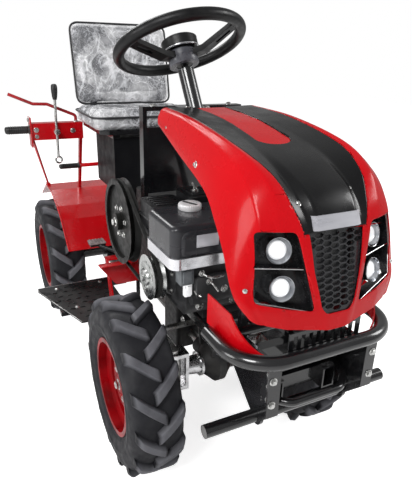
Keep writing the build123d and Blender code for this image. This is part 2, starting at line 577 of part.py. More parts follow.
# Dash frame behind the bonnet: two legs on the gearbox, a top bar that clamps the column, and a sheet
DASH_X0, DASH_X1 = 192, 222
DASH_HALF = 156
DASH_TOP = 1006
FOOT_Z0, FOOT_Z1 = gear_top - 45, gear_top - 5
dash = both_sides(block(DASH_X0, DASH_X1, DASH_HALF - 12, DASH_HALF, FOOT_Z0, DASH_TOP))
dash += block(DASH_X0, DASH_X1, -DASH_HALF, DASH_HALF, DASH_TOP - 12, DASH_TOP)
dash += block(DASH_X0, DASH_X1, -DASH_HALF, GEAR_Y0, FOOT_Z0, FOOT_Z1)
dash += block(DASH_X0, DASH_X1, GEAR_Y1, DASH_HALF, FOOT_Z0, FOOT_Z1)
dash += block(DASH_X1 - SHEET, DASH_X1, -DASH_HALF + 12, DASH_HALF - 12, gear_top + 15, DASH_TOP - 56)
dash += block(DASH_X1, DASH_X1 + 82, -62, 20, DASH_TOP - 12, DASH_TOP)
dash -= rod(on_column(300), on_column(100), COLUMN_R + FIT)
nodes["dash_panel"] = dash


# Bonnet stays: two posts from the rails up to the inside of the bonnet

STAY_X = 670
STAY_SPLIT_Z = 900
stays = block(STAY_X - 8, STAY_X + 8, 62, 82, RAIL_TOP, STAY_SPLIT_Z)
stays += block(STAY_X - 8, STAY_X + 8, 62, 82, STAY_SPLIT_Z, 1000) & core
nodes["bonnet_stays"] = both_sides(stays)


# Footboards, their carriers, and the pedals

BOARD_Z = 275
BOARD_T = 4
# The left board is a little wider than the right one, which leaves room for the grip above it
BOARD_OUT_RIGHT = 425
BOARD_OUT_LEFT = 453


def footboard(out):
    sheet = plate_z([(55, 150), (55, 330), (-225, out), (-260, out), (-260, 150)], BOARD_Z, BOARD_Z + BOARD_T)
    return sheet + block(-260, -256, 150, out, BOARD_Z - 14, BOARD_Z)


carrier = block(-75, -45, RAIL_OUT - 5, 380, BOARD_Z - 16, BOARD_Z) + block(-245, -215, RAIL_OUT - 5, 400, BOARD_Z - 16, BOARD_Z)
for x in (-75, -245):
    carrier += block(x, x + 30, RAIL_OUT - 5, RAIL_OUT, BOARD_Z - 16, RAIL_BOTTOM)
nodes["footboard_left"] = footboard(BOARD_OUT_LEFT)
nodes["footboard_right"] = other_side(footboard(BOARD_OUT_RIGHT))
nodes["footboard_carriers"] = both_sides(carrier)
post = plate_y([(20, BOARD_Z + BOARD_T), (-25, BOARD_Z + BOARD_T), (-75, 452), (-45, 452)], -206, -200)
post += block(-75, -45, -200, -RAIL_OUT, 446, 452)
nodes["footboard_post"] = post
pedal = rod((-60, -150, 462), (-120, -215, 482), 7) + block(-150, -110, -245, -190, 480, 488)
nodes["pedal"] = pedal + rod((-60, -150, 452), (-60, -150, 470), 12)


# Seat, its pedestal, fenders and the rear of the tractor

SEAT_Z = 850
PAN_T = 14
pedestal = block(-430, -190, -120, 120, 650, SEAT_Z)
pedestal -= block(-430 + SHEET, -190 - SHEET, -120 + SHEET, 120 - SHEET, 650 + SHEET, SEAT_Z - SHEET)
for x in (-420, -208):
    pedestal += block(x, x + 8, -RAIL_OUT, RAIL_OUT, RAIL_TOP, 650)
nodes["seat_frame"] = pedestal
seat_rail = block(-474, -180, 100, 125, SEAT_Z, SEAT_Z + 16)
seat_rail += plate_y([(-461.7, 850), (-461.7, 943.3), (-474.2, 1002), (-486, 1002), (-474, 850)], 100, 125)
pan = round_block(-455, -165, -170, 170, SEAT_Z + 16, SEAT_Z + 16 + PAN_T, 36, Axis.Z)
nodes["seat_rails"] = both_sides(seat_rail) + pan
CUSHION_Z = SEAT_Z + 16 + PAN_T + FIT
nodes["seat_cushion"] = round_block(-455, -155, -198, 198, CUSHION_Z, 941, 44, Axis.Z)
back = Pos(-430, 0, 950) * Rot(0, -12, 0) * Pos(0, 0, 145)
back = back * fillet(Box(64, 380, 290).edges().filter_by(Axis.X), 50)
nodes["seat_back"] = back

FENDER_IN = RAIL_OUT
FENDER_OUT = 290
FENDER_TOP = 572
FENDER_LINE = [(-290, 405), (-312, 420), (-400, 497), (-470, 534), (-590, FENDER_TOP), (-700, FENDER_TOP), (-830, 500)]
under = [(x, z - SHEET - 1) for x, z in FENDER_LINE]
fender = plate_y(FENDER_LINE + list(reversed(under)), FENDER_IN, FENDER_OUT)
fender += plate_y([(-312, 418)] + [(x, z - 2) for x, z in FENDER_LINE[2:6]] + [(-755, 543), (-755, RAIL_BOTTOM),
                  (-318, RAIL_BOTTOM)], FENDER_IN, FENDER_IN + SHEET)
fender += plate_y(FENDER_LINE[3:6] + under[5:2:-1], 0.5, FENDER_IN)
nodes["fender_left"] = fender
nodes["fender_right"] = other_side(fender)

# Hand levers at the right of the seat, on a sheet box that straps and a post carry on the fender
STAND_X = -500
BOX_Z0, BOX_Z1 = 806, 870
stand = block(STAND_X - 20, STAND_X + 20, -357, -160, BOX_Z0, BOX_Z1)
stand -= block(STAND_X - 17, STAND_X + 17, -354, -163, BOX_Z0 - 1, BOX_Z1 - SHEET)
stand += block(STAND_X - 26, STAND_X + 26, -362, -357, BOX_Z0 - 26, BOX_Z1 + 22)
for x in (STAND_X - 14, STAND_X + 14):
    stand += rod((x, -355.5, BOX_Z0 + 8), (-688, -282, FENDER_TOP + 5), 4.5)
stand += block(-700, -676, -290, -274, FENDER_TOP, FENDER_TOP + 8)
post_top, post_low = BOX_Z1 - SHEET, FENDER_TOP
stand += plate_y([(STAND_X + 8, post_top), (STAND_X - 12, post_top), (STAND_X - 120, post_low),
                  (STAND_X - 100, post_low)], -168, -156)
nodes["control_stand"] = stand
nodes["grip_high"] = rod_y(-BOARD_OUT_LEFT, -362, STAND_X, 845, 16)
LEVER_X, LEVER_Y, EYE_Z = STAND_X + 32, -267, 728
lever = rod((LEVER_X, LEVER_Y, EYE_Z + 12), (LEVER_X, LEVER_Y + 4, 962), 5)
lever += rod((LEVER_X, LEVER_Y + 4, 958), (LEVER_X, LEVER_Y + 5, 1016), 12)
lever += Pos(LEVER_X, LEVER_Y, EYE_Z) * Rot(0, 90, 0) * Torus(12, 4.5)
lever += rod_x(STAND_X + 20, LEVER_X + 8, LEVER_Y + 1, 838, 9)
nodes["gear_lever"] = lever
nodes["lift_lever"] = bent_tube([(STAND_X, -182, BOX_Z1), (STAND_X, -182, BOX_Z1 + 24), (STAND_X, -289, 939),
                                 (STAND_X, -342, 941), (STAND_X, -427, 978)], 6, 14)
LOW_Z = 680
low_x = STAND_X + 8 - (post_top - LOW_Z) / (post_top - post_low) * 108 + 8 + FIT
nodes["low_lever"] = rod_y(-253, -170, low_x, LOW_Z, 12) + rod_y(-170, -20, low_x, LOW_Z, 8)

# Rear plate and drawbar clevis
HITCH_REACH = 120
hitch_x = RAIL_REAR_X - HITCH_REACH
PIN_BORE_R = 11
plate = block(-768, -760, -110, 110, 300, RAIL_TOP)
for y in (-50, 50):
    for z in (330, 410):
        plate -= rod_x(-780, -750, y, z, 6.5)
clevis = block(hitch_x, -768, -30, 30, 330, 342) + rod_z(330, 342, hitch_x, 0, 32)
clevis += Pos(0, 0, 50) * clevis
clevis -= rod_z(300, 420, hitch_x, 0, PIN_BORE_R)
nodes["rear_hitch"] = plate + clevis

os.makedirs("parts", exist_ok=True)
for name, shape in nodes.items():
    shape.label = name
    export_step(shape, f"parts/{name}.step")
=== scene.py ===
import math

import bmesh
import bpy
from mathutils import Matrix, Vector, noise


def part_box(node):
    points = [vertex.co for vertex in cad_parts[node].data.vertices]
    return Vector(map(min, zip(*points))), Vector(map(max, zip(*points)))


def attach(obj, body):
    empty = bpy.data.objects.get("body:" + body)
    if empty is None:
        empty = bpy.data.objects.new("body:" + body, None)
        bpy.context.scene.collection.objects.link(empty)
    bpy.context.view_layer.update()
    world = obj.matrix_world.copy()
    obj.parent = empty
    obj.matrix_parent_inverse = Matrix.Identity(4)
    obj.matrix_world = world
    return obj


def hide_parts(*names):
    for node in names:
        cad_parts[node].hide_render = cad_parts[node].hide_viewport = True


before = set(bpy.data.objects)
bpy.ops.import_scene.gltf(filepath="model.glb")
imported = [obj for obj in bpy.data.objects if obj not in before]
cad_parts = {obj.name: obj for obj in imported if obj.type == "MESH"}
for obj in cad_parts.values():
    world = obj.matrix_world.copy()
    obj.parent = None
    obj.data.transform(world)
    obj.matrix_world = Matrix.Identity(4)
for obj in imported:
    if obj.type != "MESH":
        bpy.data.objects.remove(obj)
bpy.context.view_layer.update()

# The finished looks of a small orchard tractor. Metres, in the frame of its solids: +X is forward,
# +Y is the tractor's left, +Z is up, and the origin is on the ground.

scene = bpy.context.scene


# Studio: a pale seamless floor, a white surround and four soft lamps. The camera stands ahead of the
# tractor's right front wheel, a little under head height, and looks back and down at it.

CAMERA_PLACE = (1.5585, -0.633, 1.1667)
CAMERA_YAW = 2.668
CAMERA_PITCH = 0.390
CAMERA_ROLL = -0.030
CAMERA_LENS = 35.85
SENSOR_WIDTH = 36

sight = Vector((math.cos(CAMERA_YAW) * math.cos(CAMERA_PITCH),
                math.sin(CAMERA_YAW) * math.cos(CAMERA_PITCH), -math.sin(CAMERA_PITCH)))
level = sight.cross(Vector((0, 0, 1))).normalized()
upright = level.cross(sight)
side_axis = level * math.cos(CAMERA_ROLL) - upright * math.sin(CAMERA_ROLL)
up_axis = level * math.sin(CAMERA_ROLL) + upright * math.cos(CAMERA_ROLL)
camera_data = bpy.data.cameras.new("photo_camera")
camera_data.lens = CAMERA_LENS
camera_data.sensor_width = SENSOR_WIDTH
camera = bpy.data.objects.new("photo_camera", camera_data)
camera.matrix_world = Matrix((
    (side_axis.x, up_axis.x, -sight.x, CAMERA_PLACE[0]),
    (side_axis.y, up_axis.y, -sight.y, CAMERA_PLACE[1]),
    (side_axis.z, up_axis.z, -sight.z, CAMERA_PLACE[2]),
    (0, 0, 0, 1)))
scene.collection.objects.link(camera)
scene.camera = camera
scene.view_settings.view_transform = "Standard"

STUDIO_LAMPS = [
    # name, place, aim, width, watts
    ("key_lamp", (2.4, -2.6, 3.4), (0.1, 0.0, 0.5), 1.6, 112),
    ("fill_lamp", (0.4, -3.4, 1.5), (0.0, 0.0, 0.5), 1.4, 34),
    ("left_lamp", (1.6, 3.2, 2.6), (0.0, 0.0, 0.5), 1.6, 58),
    ("back_lamp", (-2.8, -0.6, 3.2), (-0.2, 0.0, 0.6), 1.8, 64),
]
for name, place, aim, width, watts in STUDIO_LAMPS:
    lamp_data = bpy.data.lights.new(name, "AREA")
    lamp_data.shape = "DISK"
    lamp_data.size = width
    lamp_data.energy = watts
    lamp = bpy.data.objects.new(name, lamp_data)
    lamp.location = place
    lamp.rotation_mode = "QUATERNION"
    lamp.rotation_quaternion = (Vector(aim) - Vector(place)).to_track_quat("-Z", "Y")
    scene.collection.objects.link(lamp)


def add_node(tree, kind, sources=None, values=None):
    """A new shader node. Sources are the outputs that feed its sockets, values the constants in them."""
    made = tree.nodes.new("ShaderNode" + kind)
    for socket, source in (sources or {}).items():
        tree.links.new(source, made.inputs[socket])
    for socket, value in (values or {}).items():
        made.inputs[socket].default_value = value
    return made


def reckon(tree, operation, *terms):
    """The result of a sum; each term is an output or a plain number."""
    made = tree.nodes.new("ShaderNodeMath")
    made.operation = operation
    for socket, term in zip(made.inputs, terms):
        if isinstance(term, float):
            socket.default_value = term
        else:
            tree.links.new(term, socket)
    return made.outputs[0]


WHITE = (1, 1, 1, 1)
WORLD_LIGHT = 0.36
world = bpy.data.worlds.new("studio_air")
scene.world = world
world.use_nodes = True
air = world.node_tree
air.nodes.clear()
seen = add_node(air, "Background", values={"Color": WHITE, "Strength": 1.0})
lit = add_node(air, "Background", values={"Color": WHITE, "Strength": WORLD_LIGHT})
path = add_node(air, "LightPath")
direct = reckon(air, "MAXIMUM", path.outputs["Is Camera Ray"], path.outputs["Is Transmission Ray"])
choose = add_node(air, "MixShader", {0: direct, 1: lit.outputs[0], 2: seen.outputs[0]})
add_node(air, "OutputWorld", {"Surface": choose.outputs[0]})

FLOOR_HALF = 9.0
FLOOR_GLOW = 0.72
floor_mesh = bpy.data.meshes.new("studio_floor")
floor_corners = [(x * FLOOR_HALF, y * FLOOR_HALF, 0) for x, y in ((-1, -1), (1, -1), (1, 1), (-1, 1))]
floor_mesh.from_pydata(floor_corners, [], [(0, 1, 2, 3)])
floor = bpy.data.objects.new("studio_floor", floor_mesh)
floor.location.z = -0.0005
scene.collection.objects.link(floor)
floor_mat = bpy.data.materials.new("pale_floor")
floor_mat.use_nodes = True
tree = floor_mat.node_tree
tree.nodes.clear()
matt = add_node(tree, "BsdfDiffuse", values={"Color": (0.9, 0.9, 0.9, 1)})
glow = add_node(tree, "Emission", values={"Color": WHITE, "Strength": FLOOR_GLOW})
both = add_node(tree, "AddShader", {0: matt.outputs[0], 1: glow.outputs[0]})
to_eye = add_node(tree, "LightPath").outputs["Is Camera Ray"]
pick = add_node(tree, "MixShader", {0: to_eye, 1: matt.outputs[0], 2: both.outputs[0]})
add_node(tree, "OutputMaterial", {"Surface": pick.outputs[0]})
floor_mesh.materials.append(floor_mat)


# Frame: two box rails with cross members, the rear plate with its drawbar clevis, and the stays that
# carry the bonnet. All of it is welded steel, sprayed gloss black, with a slight orange peel.

def surface(name, colour, roughness, metallic=0.0, coat=0.0, specular=0.5):
    """A new material whose colour, roughness and bump come from the marks that are added to it."""
    made = bpy.data.materials.new(name)
    made.use_nodes = True
    sockets = made.node_tree.nodes["Principled BSDF"].inputs
    for socket, value in (("Base Color", (*colour, 1)), ("Roughness", roughness), ("Metallic", metallic),
                          ("Specular IOR Level", specular), ("Coat Weight", coat), ("Coat Roughness", 0.07)):
        sockets[socket].default_value = value
    return made


def feed(made, socket, source):
    """Leads an output to a socket of the material's own shader."""
    made.node_tree.links.new(source, made.node_tree.nodes["Principled BSDF"].inputs[socket])


def grain(made, scale, detail=3.0, stretch=(1, 1, 1)):
    """A noise over the piece's own coordinates, to drive a mark on the material."""
    tree = made.node_tree
    where = add_node(tree, "TexCoord")
    fit = add_node(tree, "Mapping", {"Vector": where.outputs["Object"]}, {"Scale": stretch})
    cloud = add_node(tree, "TexNoise", {"Vector": fit.outputs["Vector"]}, {"Scale": scale, "Detail": detail})
    return cloud.outputs["Fac"]


def tint(made, mark, low, high, start=0.35, end=0.65):
    """The colour goes from low to high along the mark."""
    ramp = add_node(made.node_tree, "ValToRGB", {"Fac": mark})
    for stop, place, colour in zip(ramp.color_ramp.elements, (start, end), (low, high)):
        stop.position = place
        stop.color = (*colour, 1)
    feed(made, "Base Color", ramp.outputs["Color"])


def polish(made, mark, low, high):
    """The roughness goes from low to high along the mark."""
    span = add_node(made.node_tree, "MapRange", {"Value": mark},
                    {"From Min": 0.3, "From Max": 0.7, "To Min": low, "To Max": high})
    feed(made, "Roughness", span.outputs["Result"])


def relief(made, mark, strength, depth):
    """The mark raises the surface by up to depth metres."""
    bump = add_node(made.node_tree, "Bump", {"Height": mark}, {"Strength": strength, "Distance": depth})
    before = made.node_tree.nodes["Principled BSDF"].inputs["Normal"].links
    if before:
        made.node_tree.links.new(before[0].from_socket, bump.inputs["Normal"])
    feed(made, "Normal", bump.outputs["Normal"])


def paint(name, colour, roughness, shades, gloss, bumps, **shine):
    """A material with the usual marks. Each names its grain and then the two values that the grain sets."""
    made = surface(name, colour, roughness, **shine)
    for mark, (fineness, *values) in ((tint, shades), (polish, gloss), (relief, bumps)):
        mark(made, grain(made, *fineness), *values)
    return made


def round_edges(piece, width, angle=40, segments=3, clamp=False):
    """Rolls the edges that are sharper than the angle."""
    bevel = piece.modifiers.new("rolled_edges", "BEVEL")
    bevel.width = width
    bevel.segments = segments
    bevel.limit_method = "ANGLE"
    bevel.angle_limit = math.radians(angle)
    bevel.use_clamp_overlap = clamp


def finish_node(name, made, edge=0.0012):
    """A solid that stays as it is gets its material, and its sharp edges are broken as real ones are."""
    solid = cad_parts[name]
    solid.data.materials.clear()
    solid.data.materials.append(made)
    if edge:
        round_edges(solid, edge, 32, 2, True)


black_paint = paint("gloss_black_paint", (0.006, 0.006, 0.007), 0.2, coat=0.6,
    shades=((9,), (0.004, 0.004, 0.005), (0.010, 0.010, 0.011)), gloss=((14,), 0.14, 0.3),
    bumps=((260, 1), 0.10, 0.0006))
for name in ("main_frame", "bonnet_stays", "rear_hitch", "footboard_carriers", "rear_axle"):
    finish_node(name, black_paint)


# Tyres: moulded rubber with a round carcass, two staggered rows of long tapered lugs that meet in a V,
# and plain side walls with a few moulded rings. The air holds their beads against the rim lips.

def mesh_piece(name, shape, made, slot=None, sharp=35, body="chassis"):
    """A new piece from its points and faces, shaded smooth but for edges sharper than the angle."""
    data = bpy.data.meshes.new(name)
    data.from_pydata([tuple(v) for v in shape[0]], [], shape[1])
    data.polygons.foreach_set("use_smooth", [True] * len(data.polygons))
    tidy = bmesh.new()
    tidy.from_mesh(data)
    bmesh.ops.recalc_face_normals(tidy, faces=tidy.faces)
    tidy.to_mesh(data)
    tidy.free()
    data.set_sharp_from_angle(angle=math.radians(sharp))
    data.materials.append(made)
    piece = bpy.data.objects.new(name, data)
    scene.collection.objects.link(piece)
    if slot:
        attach(piece, body)
    return piece


def cover_rings(first, count, rings, faces, ring_closed=False):
    """Faces over a run of rings, `count` points to each: closed by its ends, or into a ring of its own."""
    for i in range(rings if ring_closed else rings - 1):
        a, b = first + i * count, first + (i + 1) % rings * count
        for j in range(count):
            faces.append((a + j, a + (j + 1) % count, b + (j + 1) % count, b + j))
    if not ring_closed:
        last = first + (rings - 1) * count
        faces.append(tuple(range(first, first + count)))
        faces.append(tuple(range(last, last + count)))


def ring_mesh(profile, steps, shape, place):
    """Turns a closed profile of (along, radius) points into rings; place maps (angle, along, radius)."""
    verts, faces = shape
    first = len(verts)
    for i in range(steps):
        angle = 2 * math.pi * i / steps
        verts.extend(place(angle, v, r) for v, r in profile)
    cover_rings(first, len(profile), steps, faces, True)


TYRE_R = 0.255
CARCASS_R = 0.237
BEAD_R = 0.134
LUG_COUNT = 14
LUG_ANGLE = math.radians(42)
LUG_STATIONS = 11
LUG_MID = 0.027
LUG_IN, LUG_OUT = -0.013, 0.0665
LUG_PHASE = math.radians(7.6)
WALL_HALF = [
    # across, radius: from the middle of the tread down the side wall to the bead
    (0.0, CARCASS_R), (0.030, CARCASS_R - 0.0004), (0.050, CARCASS_R - 0.002), (0.060, CARCASS_R - 0.007),
    (0.0675, CARCASS_R - 0.016), (0.0715, CARCASS_R - 0.028), (0.0735, CARCASS_R - 0.042), (0.0732, 0.186),
    (0.0742, 0.1845), (0.0742, 0.1815), (0.0728, 0.180), (0.0712, 0.168), (0.0672, 0.156), (0.0680, 0.1545),
    (0.0665, 0.1525), (0.0610, 0.146), (0.0575, 0.1385), (0.0555, BEAD_R)]


def tread_height(across):
    """How far the lug's top is from the axle: full in the middle, and rounded off at the shoulder."""
    past = max(0.0, across - 0.048) / 0.020
    return TYRE_R - 0.0006 - 0.012 * past ** 2


def wall_radius(across):
    """The carcass's radius at a distance from the middle of the tread."""
    for (y0, r0), (y1, r1) in zip(WALL_HALF, WALL_HALF[1:]):
        if y0 <= across <= y1:
            return r0 + (r1 - r0) * (across - y0) / (y1 - y0)
    return 0.205


def tyre_mesh():
    """A tyre about its own axle, with the V of its lugs pointing forward on top."""
    verts, faces = [], []
    profile = WALL_HALF + [(-y, r) for y, r in reversed(WALL_HALF[1:])]

    def place(angle, across, radius):
        return (radius * math.sin(angle), across, radius * math.cos(angle))

    ring_mesh(profile, 112, (verts, faces), place)
    for side in (1, -1):
        for i in range(LUG_COUNT):
            turn = LUG_PHASE + 2 * math.pi / LUG_COUNT * (i + (0.5 if side < 0 else 0))
            first = len(verts)
            for k in range(LUG_STATIONS):
                part = k / (LUG_STATIONS - 1)
                across = LUG_IN + (LUG_OUT - LUG_IN) * part
                bend = 1 + 0.22 * (part - 0.4)
                angle = turn - (across - LUG_MID) * math.tan(LUG_ANGLE) * bend / TYRE_R
                top = tread_height(across)
                root = wall_radius(abs(across)) - 0.003
                wide = 0.0112 - 0.0012 * part
                # The lug's section; its two ends are 3.5 mm lower, so that they slope
                fall = 0.0 if 0 < k < LUG_STATIONS - 1 else 0.0035
                section = [(wide + 0.0045, root), (wide + 0.0002, top - 0.0022 - fall),
                           (wide - 0.0022, top - fall)]
                section = [(-offset, radius) for offset, radius in section] + section[::-1]
                for offset, radius in section:
                    lean = offset / math.cos(LUG_ANGLE)
                    verts.append(place(angle + lean / TYRE_R, side * across, radius))
            cover_rings(first, len(section), LUG_STATIONS, faces)
    return verts, faces


tyre_rubber = surface("tyre_rubber", (0.018, 0.018, 0.02), 0.6, specular=0.35)
lug_mark = add_node(tyre_rubber.node_tree, "Attribute")
lug_mark.attribute_name = "lug_top"
# The lug tops are painted lighter than the carcass, in patches: a painted highlight
lug_top_highlight = reckon(tyre_rubber.node_tree, "MULTIPLY", lug_mark.outputs["Fac"], grain(tyre_rubber, 16, 5))
tint(tyre_rubber, lug_top_highlight, (0.010, 0.010, 0.013), (0.105, 0.105, 0.118), 0.0, 0.55)
polish(tyre_rubber, grain(tyre_rubber, 34, 4), 0.5, 0.8)
relief(tyre_rubber, grain(tyre_rubber, 420, 2), 0.30, 0.0008)
relief(tyre_rubber, grain(tyre_rubber, 24, 3), 0.25, 0.0015)

FRONT_X, REAR_X = 0.400, -0.640
WHEEL_Y = 0.270
WHEEL_PLACES = {
    # name: x, y, outer side
    "front_right": (FRONT_X, -WHEEL_Y, -1),
    "front_left": (FRONT_X, WHEEL_Y, 1),
    "rear_right": (REAR_X, -WHEEL_Y, -1),
    "rear_left": (REAR_X, WHEEL_Y, 1),
}
AXLE_HEIGHT = 0.255
tyre_points, tyre_faces = tyre_mesh()
# The lugs' tops are painted lighter than the rest: a painted highlight on the faces that meet the light
lug_tops = [float(math.hypot(x, z) > tread_height(abs(y)) - 0.0026 and abs(y) < LUG_OUT + 0.002)
            for x, y, z in tyre_points]
for name, (wheel_x, wheel_y, _) in WHEEL_PLACES.items():
    placed = [(x + wheel_x, y + wheel_y, z + AXLE_HEIGHT) for x, y, z in tyre_points]
    tyre = mesh_piece("lugged_tyre_" + name, (placed, tyre_faces), tyre_rubber, "tyre", 38, "wheel_" + name)
    lug_highlight_layer = tyre.data.attributes.new("lug_top", "FLOAT", "POINT")
    lug_highlight_layer.data.foreach_set("value", lug_tops)
    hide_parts("tyre_" + name)


# Rims: pressed steel dishes with a drop centre, six round holes and a hub, sprayed dark red. Five
# plated nuts and one in the middle hold each hub, and a rubber valve stands in the well.

rim_red = paint("dark_red_rim_paint", (0.22, 0.001, 0.003), 0.34, coat=0.12, specular=0.15,
    shades=((12, 5), (0.13, 0.001, 0.002), (0.30, 0.002, 0.005)), gloss=((20, 4), 0.24, 0.5),
    bumps=((300, 1), 0.12, 0.0006))
for name in WHEEL_PLACES:
    finish_node("rim_" + name, rim_red, 0.001)

zinc = paint("plated_fastener", (0.62, 0.62, 0.60), 0.24, metallic=1.0,
    shades=((90, 3), (0.50, 0.50, 0.49), (0.74, 0.74, 0.72)), gloss=((150, 3), 0.16, 0.4),
    bumps=((500, 2), 0.08, 0.0003))


def axis_frame(place, along):
    """A matrix whose z runs along the given direction from the place."""
    turn = Vector(along).to_track_quat("Z", "Y").to_matrix().to_4x4()
    return Matrix.Translation(Vector(place)) @ turn


def turned(profile, steps, matrix, shape):
    """Revolves an open profile of (radius, height) points about the matrix's z; radius 0 is on the axis."""
    verts, faces = shape
    rows = []
    for radius, height in profile:
        if radius < 1e-7:
            verts.append(tuple(matrix @ Vector((0, 0, height))))
            rows.append([len(verts) - 1])
            continue
        row = []
        for i in range(steps):
            angle = 2 * math.pi * i / steps
            spot = Vector((radius * math.cos(angle), radius * math.sin(angle), height))
            verts.append(tuple(matrix @ spot))
            row.append(len(verts) - 1)
        rows.append(row)
    for low, high in zip(rows, rows[1:]):
        for i in range(steps):
            a, b = low[i % len(low)], low[(i + 1) % len(low)]
            c, d = high[(i + 1) % len(high)], high[i % len(high)]
            face = [p for n, p in enumerate((a, b, c, d)) if p not in (a, b, c, d)[:n]]
            if len(face) > 2:
                faces.append(tuple(face))


def add_bolt(shape, place, along, across=0.012, high=0.006, washer=True):
    """A hexagon head on a washer, with a chamfered top; the washer's back is just sunk in the face below."""
    where = axis_frame(place, along)
    if washer:
        disc = [(0, -0.0012), (across * 0.82, -0.0012), (across * 0.82, 0.0010), (across * 0.76, 0.0015),
                (0, 0.0015)]
        turned(disc, 20, where, shape)
    r = across / math.sqrt(3)
    turned([(0, 0.0005), (r, 0.0005), (r, high * 0.82), (r * 0.86, high), (0, high)], 6, where, shape)


def bolt_circle(shape, centre, out, radius, count, start, across, high, washer=True):
    """Bolts on a circle in a face that looks along Y; out is 1 or -1."""
    for k in range(count):
        angle = start + 2 * math.pi * k / count
        place = (centre[0] + radius * math.cos(angle), centre[1], centre[2] + radius * math.sin(angle))
        add_bolt(shape, place, (0, out, 0), across, high, washer)


for name, (wheel_x, wheel_y, out) in WHEEL_PLACES.items():
    shape = [], []
    hub_face = (wheel_x, wheel_y + out * 0.0262, AXLE_HEIGHT)
    bolt_circle(shape, hub_face, out, 0.046, 5, math.pi / 2 - 0.3, 0.017, 0.009)
    add_bolt(shape, (wheel_x, wheel_y + out * 0.0394, AXLE_HEIGHT), (0, out, 0), 0.02, 0.010)
    mesh_piece("wheel_nuts_" + name, shape, zinc, "bright_steel", 30, "wheel_" + name)
    shape = [], []
    valve = axis_frame((wheel_x + 0.112, wheel_y + out * 0.018, AXLE_HEIGHT + 0.03), (-0.25, out, -0.05))
    turned([(0, -0.012), (0.0062, -0.012), (0.0062, 0.004), (0.0042, 0.010), (0.0040, 0.026), (0.0048, 0.027),
            (0.0048, 0.034), (0.0040, 0.036), (0, 0.036)], 14, valve, shape)
    mesh_piece("tyre_valve_" + name, shape, tyre_rubber, "tyre", 30, "wheel_" + name)


# Front axle: a cast centre with bright flanged ends, forged knuckles that carry the wheels, and the
# ground tie rod behind them. The castings are rough and black, and the bolts are plated.

cast_black = paint("rough_black_casting", (0.010, 0.010, 0.011), 0.55, specular=0.4,
    shades=((22, 5), (0.006, 0.006, 0.007), (0.022, 0.021, 0.020)), gloss=((60, 3), 0.4, 0.7),
    bumps=((300, 3), 0.5, 0.0010))
bright_steel = paint("worn_bright_steel", (0.46, 0.46, 0.46), 0.3, metallic=1.0,
    shades=((26, 6), (0.22, 0.21, 0.20), (0.62, 0.62, 0.61)), gloss=((80, 3, (1, 8, 1)), 0.2, 0.5),
    bumps=((350, 2), 0.15, 0.0004))
machined = paint("machined_flange_face", (0.66, 0.66, 0.67), 0.2, metallic=1.0,
    shades=((40, 4), (0.5, 0.5, 0.51), (0.78, 0.78, 0.79)), gloss=((120, 2, (1, 6, 1)), 0.12, 0.34),
    bumps=((500, 2), 0.08, 0.0003))
finish_node("front_axle_housing", cast_black, 0.0018)
finish_node("gearbox", cast_black, 0.003)
finish_node("front_axle_ends", machined)
for name in ("drive_shafts", "knuckle_left", "knuckle_right", "tie_rod"):
    finish_node(name, bright_steel)
shape = [], []
for side in (-1, 1):
    flange = (FRONT_X, side * 0.058, AXLE_HEIGHT)
    bolt_circle(shape, flange, side, 0.0335, 6, math.pi / 2 - 0.26, 0.008, 0.005, False)
mesh_piece("axle_flange_bolts", shape, zinc, "bright_steel", 30)


# Bonnet: a pressed steel skin of one shape, split into a red shell with lamp and grille openings, a black
# panel down the middle, and a red tongue that lies a little deeper in it. All are sprayed and polished.

SKIN_ROWS = [
    # crown x, z; flank edge x, z; half width and drop of hump, channel, ridge, cheek and shoulder; half
    # width of the flank's edge. Millimetres.
    (325, 1014, 325, 972, 44, 0, 60, 0, 128, -2, 137, 0, 146, 6, 151),
    (500, 1003, 485, 928, 44, 0, 62, 0, 129, -6, 139, -7, 150, 0, 164),
    (689, 962, 660, 890, 56, -6, 74, -6, 124, -19, 136, -24, 156, -10, 184),
    (785, 926, 735, 846, 54, -12, 72, -3, 106, -22, 128, -24, 158, -4, 195),
    (840, 893, 785, 800, 50, -12, 68, 2, 92, -6, 120, -4, 158, 14, 201),
    (873, 848, 808, 770, 46, -3, 62, 2, 77, 2, 120, 14, 162, 32, 204),
    (892, 776, 828, 738, 40, 0, 56, 2, 66, 5, 120, 22, 172, 42, 204),
    (906, 704, 843, 712, 30, 0, 42, 2, 50, 5, 120, 20, 168, 38, 197),
    (910, 650, 858, 684, 20, 0, 30, 2, 40, 5, 110, 22, 150, 40, 178),
]
ROW_STEPS = 8
SKIN_T = 0.003
FLANK_SWELL = 4.0
CORNER_REACH = 5.0
PANEL_ROWS = 5


def smooth_rows(rows, steps):
    """More rows between the given ones, along a smooth curve through each column."""
    fine = [rows[0]]
    for i in range(len(rows) - 1):
        a, b, c, d = (rows[min(max(i + k, 0), len(rows) - 1)] for k in (-1, 0, 1, 2))
        for u in [(k + 1) / steps for k in range(steps)]:
            fine.append([0.5 * (2 * q + (r - p) * u + (2 * p - 5 * q + 4 * r - s) * u**2
                                + (3 * q - p - 3 * r + s) * u**3) for p, q, r, s in zip(a, b, c, d)])
    return fine


def soft_corners(points, reach):
    """Each inner corner of an open line of (y, s) points becomes three points of a small arc."""
    soft = [points[0]]
    for before, corner, after in zip(points, points[1:], points[2:]):
        ends = []
        for other in (before, after):
            span = math.hypot(other[0] - corner[0], other[1] - corner[1])
            part = min(reach / span, 0.34)
            ends.append([c + (o - c) * part for c, o in zip(corner, other)])
        middle = [(p + 2 * c + q) / 4 for p, c, q in zip(ends[0], corner, ends[1])]
        soft += [tuple(ends[0]), tuple(middle), tuple(ends[1])]
    return soft + [points[-1]]


